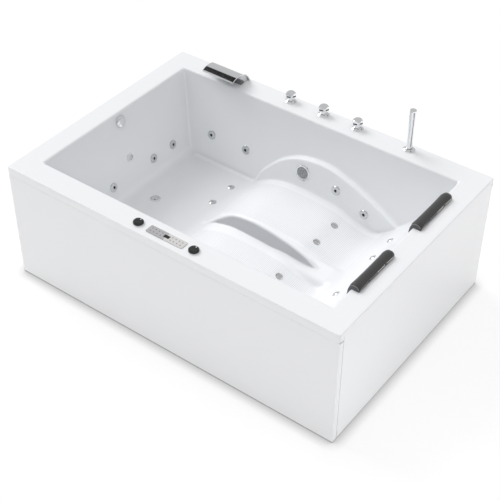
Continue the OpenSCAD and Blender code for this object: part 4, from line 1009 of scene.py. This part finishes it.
def suction_face():
    item = twin("suction_cover", "suction_cover_face")
    smooth(item, angle=35)
    middle = middle_of("suction_cover")
    axis = Vector((0, -math.cos(ARM_LEAN), math.sin(ARM_LEAN)))
    stand_for(item, "suction_cover", suction_chrome)
    paint_where(item, bright_chrome, lambda face: off_axis(face.center, middle, axis).length > STRAINER_REACH)


suction_face()


# Spout: the bent sheet, with highlights painted on its cut edges and along its lip

LIP_ANGLE = 115
CUT_FACING = 0.9
MOUTH_METAL = 0.4
MOUTH_SHARE = 0.80
MOUTH_BLUR_SHARE = 0.05
MOUTH_PAINTED_REFLECTION = (0.75, 0.75, 0.76)
MOUTH_PAINTED_SHADE = (0.17, 0.17, 0.18)


def spout_mouth(axis_z, radius):
    """The filling under the spout's arch: painted shade, dark in the middle, and a painted reflection, light
    where the sheet's inside shows on it.
    """
    material, tree, shader = new_material("spout_mouth", roughness=0.4)
    shader.inputs["Metallic"].default_value = MOUTH_METAL
    _, y, z = place_of(tree)
    reach = distance_of(
        tree, calculated(tree, "SUBTRACT", y, SIDE_TOP * MM), calculated(tree, "SUBTRACT", z, axis_z))
    # Painted shade inside the arch, with a painted reflection around it.
    dark = between(tree, reach, -MOUTH_SHARE * radius, MOUTH_SHARE * radius, MOUTH_BLUR_SHARE * radius)
    tree.links.new(colored(tree, dark, MOUTH_PAINTED_REFLECTION, MOUTH_PAINTED_SHADE), shader.inputs["Base Color"])
    return material


def spout():
    item = twin("spout_sheet", "spout_bent_sheet")
    smooth(item, angle=30)
    _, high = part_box("spout_sheet")
    radius = high[1] - SIDE_TOP * MM
    axis_z = high[2] - radius

    # Painted highlight: the cut edges and the lip are given a light, matt colour.
    def cut_or_lip(face):
        angle = math.degrees(math.atan2(face.center.z - axis_z, face.center.y - SIDE_TOP * MM))
        return abs(face.normal.x) > CUT_FACING or angle > LIP_ANGLE

    stand_for(item, "spout_sheet", bright_chrome)
    paint_where(item, spout_end, cut_or_lip)
    paint(nodes["spout_base"], spout_mouth(axis_z, radius))


spout()


# Floor and sky: both show white behind the tub, and light it at a plain level

FLOOR_SIZE = 40
FLOOR_LEVEL = 1.02
FLOOR_SHADE = 0.26
FLOOR_CONTACT_SHADOW_REACH = 60 * MM
FLOOR_BOUNCE = 0.80
FLOOR_GLOW = 0.30
SKY_LOW = 0.19
SKY_TOP = 0.98
SKY_MIRRORED = 0.62


def diffuse_and_glow(tree, shade):
    """A matt surface that also glows: the shader, and the socket of the glow's strength."""
    matt = tree.nodes.new("ShaderNodeBsdfDiffuse")
    matt.inputs["Color"].default_value = (shade, shade, shade, 1)
    glow = tree.nodes.new("ShaderNodeEmission")
    both = tree.nodes.new("ShaderNodeAddShader")
    tree.links.new(matt.outputs[0], both.inputs[0])
    tree.links.new(glow.outputs[0], both.inputs[1])
    return both.outputs[0], glow.inputs["Strength"]


def floor():
    """The camera sees a white floor with the tub's shadow, and a contact shadow painted into its glow near
    the tub; the tub sees a pale one that glows a little and throws light back.
    """
    bpy.ops.mesh.primitive_plane_add(size=FLOOR_SIZE, location=(0, 0, 0))
    item = bpy.context.object
    item.name = "studio_floor"
    material, tree, shader = new_material("studio_floor")
    tree.nodes.remove(shader)
    lit, glow = diffuse_and_glow(tree, FLOOR_BOUNCE)
    glow.default_value = FLOOR_GLOW
    seen, glow = diffuse_and_glow(tree, FLOOR_SHADE)
    # Painted contact shadow: ambient occlusion dims the floor's glow close to the tub.
    near = tree.nodes.new("ShaderNodeAmbientOcclusion")
    near.inputs["Distance"].default_value = FLOOR_CONTACT_SHADOW_REACH
    tree.links.new(calculated(tree, "MULTIPLY", near.outputs["AO"], FLOOR_LEVEL - FLOOR_SHADE), glow)
    path = tree.nodes.new("ShaderNodeLightPath")
    mix = tree.nodes.new("ShaderNodeMixShader")
    tree.links.new(path.outputs["Is Camera Ray"], mix.inputs[0])
    tree.links.new(lit, mix.inputs[1])
    tree.links.new(seen, mix.inputs[2])
    tree.links.new(mix.outputs[0], tree.nodes["Material Output"].inputs[0])
    item.data.materials.append(material)


def world():
    """A sky that gets brighter upwards, even in mirrors and white to the camera."""
    sky = bpy.data.worlds.new("studio")
    scene.world = sky
    sky.use_nodes = True
    tree = sky.node_tree
    background = tree.nodes["Background"]
    background.inputs["Color"].default_value = (1, 1, 1, 1)
    path = tree.nodes.new("ShaderNodeLightPath")
    place = tree.nodes.new("ShaderNodeTexCoord")
    parts = tree.nodes.new("ShaderNodeSeparateXYZ")
    tree.links.new(place.outputs["Generated"], parts.inputs[0])
    rise = calculated(tree, "MAXIMUM", parts.outputs[2], 0)
    last = calculated(tree, "ADD", calculated(tree, "MULTIPLY", rise, SKY_TOP - SKY_LOW), SKY_LOW)
    for seen, level in (("Is Glossy Ray", SKY_MIRRORED), ("Is Camera Ray", 1)):
        step = tree.nodes.new("ShaderNodeMix")
        tree.links.new(path.outputs[seen], step.inputs["Factor"])
        tree.links.new(last, step.inputs["A"])
        step.inputs["B"].default_value = level
        last = step.outputs["Result"]
    tree.links.new(last, background.inputs["Strength"])


floor()
world()


# Lamps

def lamp(name, kind, power, place=(0, 0, 0)):
    data = bpy.data.lights.new(name, kind)
    data.energy = power
    item = bpy.data.objects.new(name, data)
    scene.collection.objects.link(item)
    item.location = place
    return item


def sun(name, azimuth, elevation, power, spread):
    """Light from an azimuth, counted from +X towards +Y, and an elevation."""
    item = lamp(name, "SUN", power)
    item.data.angle = math.radians(spread)
    turn, rise = math.radians(azimuth), math.radians(elevation)
    source = Vector((math.cos(turn) * math.cos(rise), math.sin(turn) * math.cos(rise), math.sin(rise)))
    item.rotation_euler = source.to_track_quat("Z", "Y").to_euler()


def area(name, place, aim, size, power):
    item = lamp(name, "AREA", power, place)
    item.data.shape = "SQUARE"
    item.data.size = size
    item.rotation_euler = (Vector(aim) - Vector(place)).to_track_quat("-Z", "Y").to_euler()


sun("key", azimuth=172, elevation=42, power=1.45, spread=34)
area("right_fill", place=(5.5, 0.9, 0.5), aim=(0.9, 0.1, 0.3), size=1.6, power=11)
area("corner_fill", place=(1.6, -0.5, 0.3), aim=(0.9, -0.5, 0.3), size=0.3, power=0.50)


# Studio cards that only mirroring surfaces see. They give the chrome its dark lines.

def flag(name, place, aim, size, shade):
    bpy.ops.mesh.primitive_plane_add(size=1)
    item = bpy.context.object
    item.name = name
    turn = (Vector(aim) - Vector(place)).to_track_quat("Z", "X").to_matrix().to_4x4()
    item.data.transform(Matrix.Diagonal((*size, 1, 1)))
    item.data.transform(Matrix.Rotation(math.radians(90), 4, "Z"))
    item.data.transform(Matrix.Translation(place) @ turn)
    material, tree, shader = new_material(name)
    tree.nodes.remove(shader)
    glow = tree.nodes.new("ShaderNodeEmission")
    glow.inputs["Color"].default_value = (shade, shade, shade, 1)
    tree.links.new(glow.outputs[0], tree.nodes["Material Output"].inputs[0])
    item.data.materials.append(material)
    item.visible_camera = False
    item.visible_diffuse = False
    item.visible_shadow = False


DARK_CARD = 0.02
KNOB_CARD = 0.12
KNOB_CARD_SIZE = (0.020, 0.008)
KNOB_CARD_Z = (RIM + 21) * MM
KNOB_CARD_WAYS = {"front": Vector((-0.011, -0.035, 0)), "end": Vector((0.031, 0.015, 0))}
HANDSET_CARD_SIZE = (0.014, 0.24)
HANDSET_CARD_Z = 0.70
HANDSET_CARD_WAY = Vector((0.047, -0.016, 0))

flag("front_flag", place=(-4.6, -6, 3.3), aim=(-4.6, 0, 3.3), size=(7, 4.6), shade=DARK_CARD)
flag("ceiling_flag", place=(-4.3, 1.9, 6), aim=(-4.3, 1.9, 0), size=(3.6, 3.6), shade=DARK_CARD)
handset_middle = middle_of("handset")
handset_middle.z = HANDSET_CARD_Z
flag("handset_flag", handset_middle + HANDSET_CARD_WAY, handset_middle, HANDSET_CARD_SIZE, DARK_CARD)
for node in ("hot_tap_knob", "cold_tap_knob", "diverter_knob"):
    knob_middle = middle_of(node)
    knob_middle.z = KNOB_CARD_Z
    for side, way in KNOB_CARD_WAYS.items():
        flag(node + "_" + side + "_flag", knob_middle + way, knob_middle, KNOB_CARD_SIZE, KNOB_CARD)


# Camera, fitted to the photo's straight edges

CAMERA_PLACE = Vector((2.4879, -3.3526, 3.7672))
CAMERA_AZIMUTH = math.radians(36.526)
CAMERA_ELEVATION = math.radians(40.758)
CAMERA_ROLL = math.radians(0.332)
CAMERA_LENS = 83.52
CAMERA_SENSOR = 36


def camera():
    data = bpy.data.cameras.new("camera")
    data.lens = CAMERA_LENS
    data.sensor_width = CAMERA_SENSOR
    item = bpy.data.objects.new("camera", data)
    scene.collection.objects.link(item)
    back = Vector((math.sin(CAMERA_AZIMUTH) * math.cos(CAMERA_ELEVATION),
                   -math.cos(CAMERA_AZIMUTH) * math.cos(CAMERA_ELEVATION), math.sin(CAMERA_ELEVATION)))
    right = Vector((0, 0, 1)).cross(back).normalized()
    up = back.cross(right)
    turned = Matrix((right * math.cos(CAMERA_ROLL) + up * math.sin(CAMERA_ROLL),
                     up * math.cos(CAMERA_ROLL) - right * math.sin(CAMERA_ROLL), back)).transposed()
    item.matrix_world = Matrix.Translation(CAMERA_PLACE) @ turned.to_4x4()
    scene.camera = item


camera()
scene.view_settings.view_transform = "Standard"
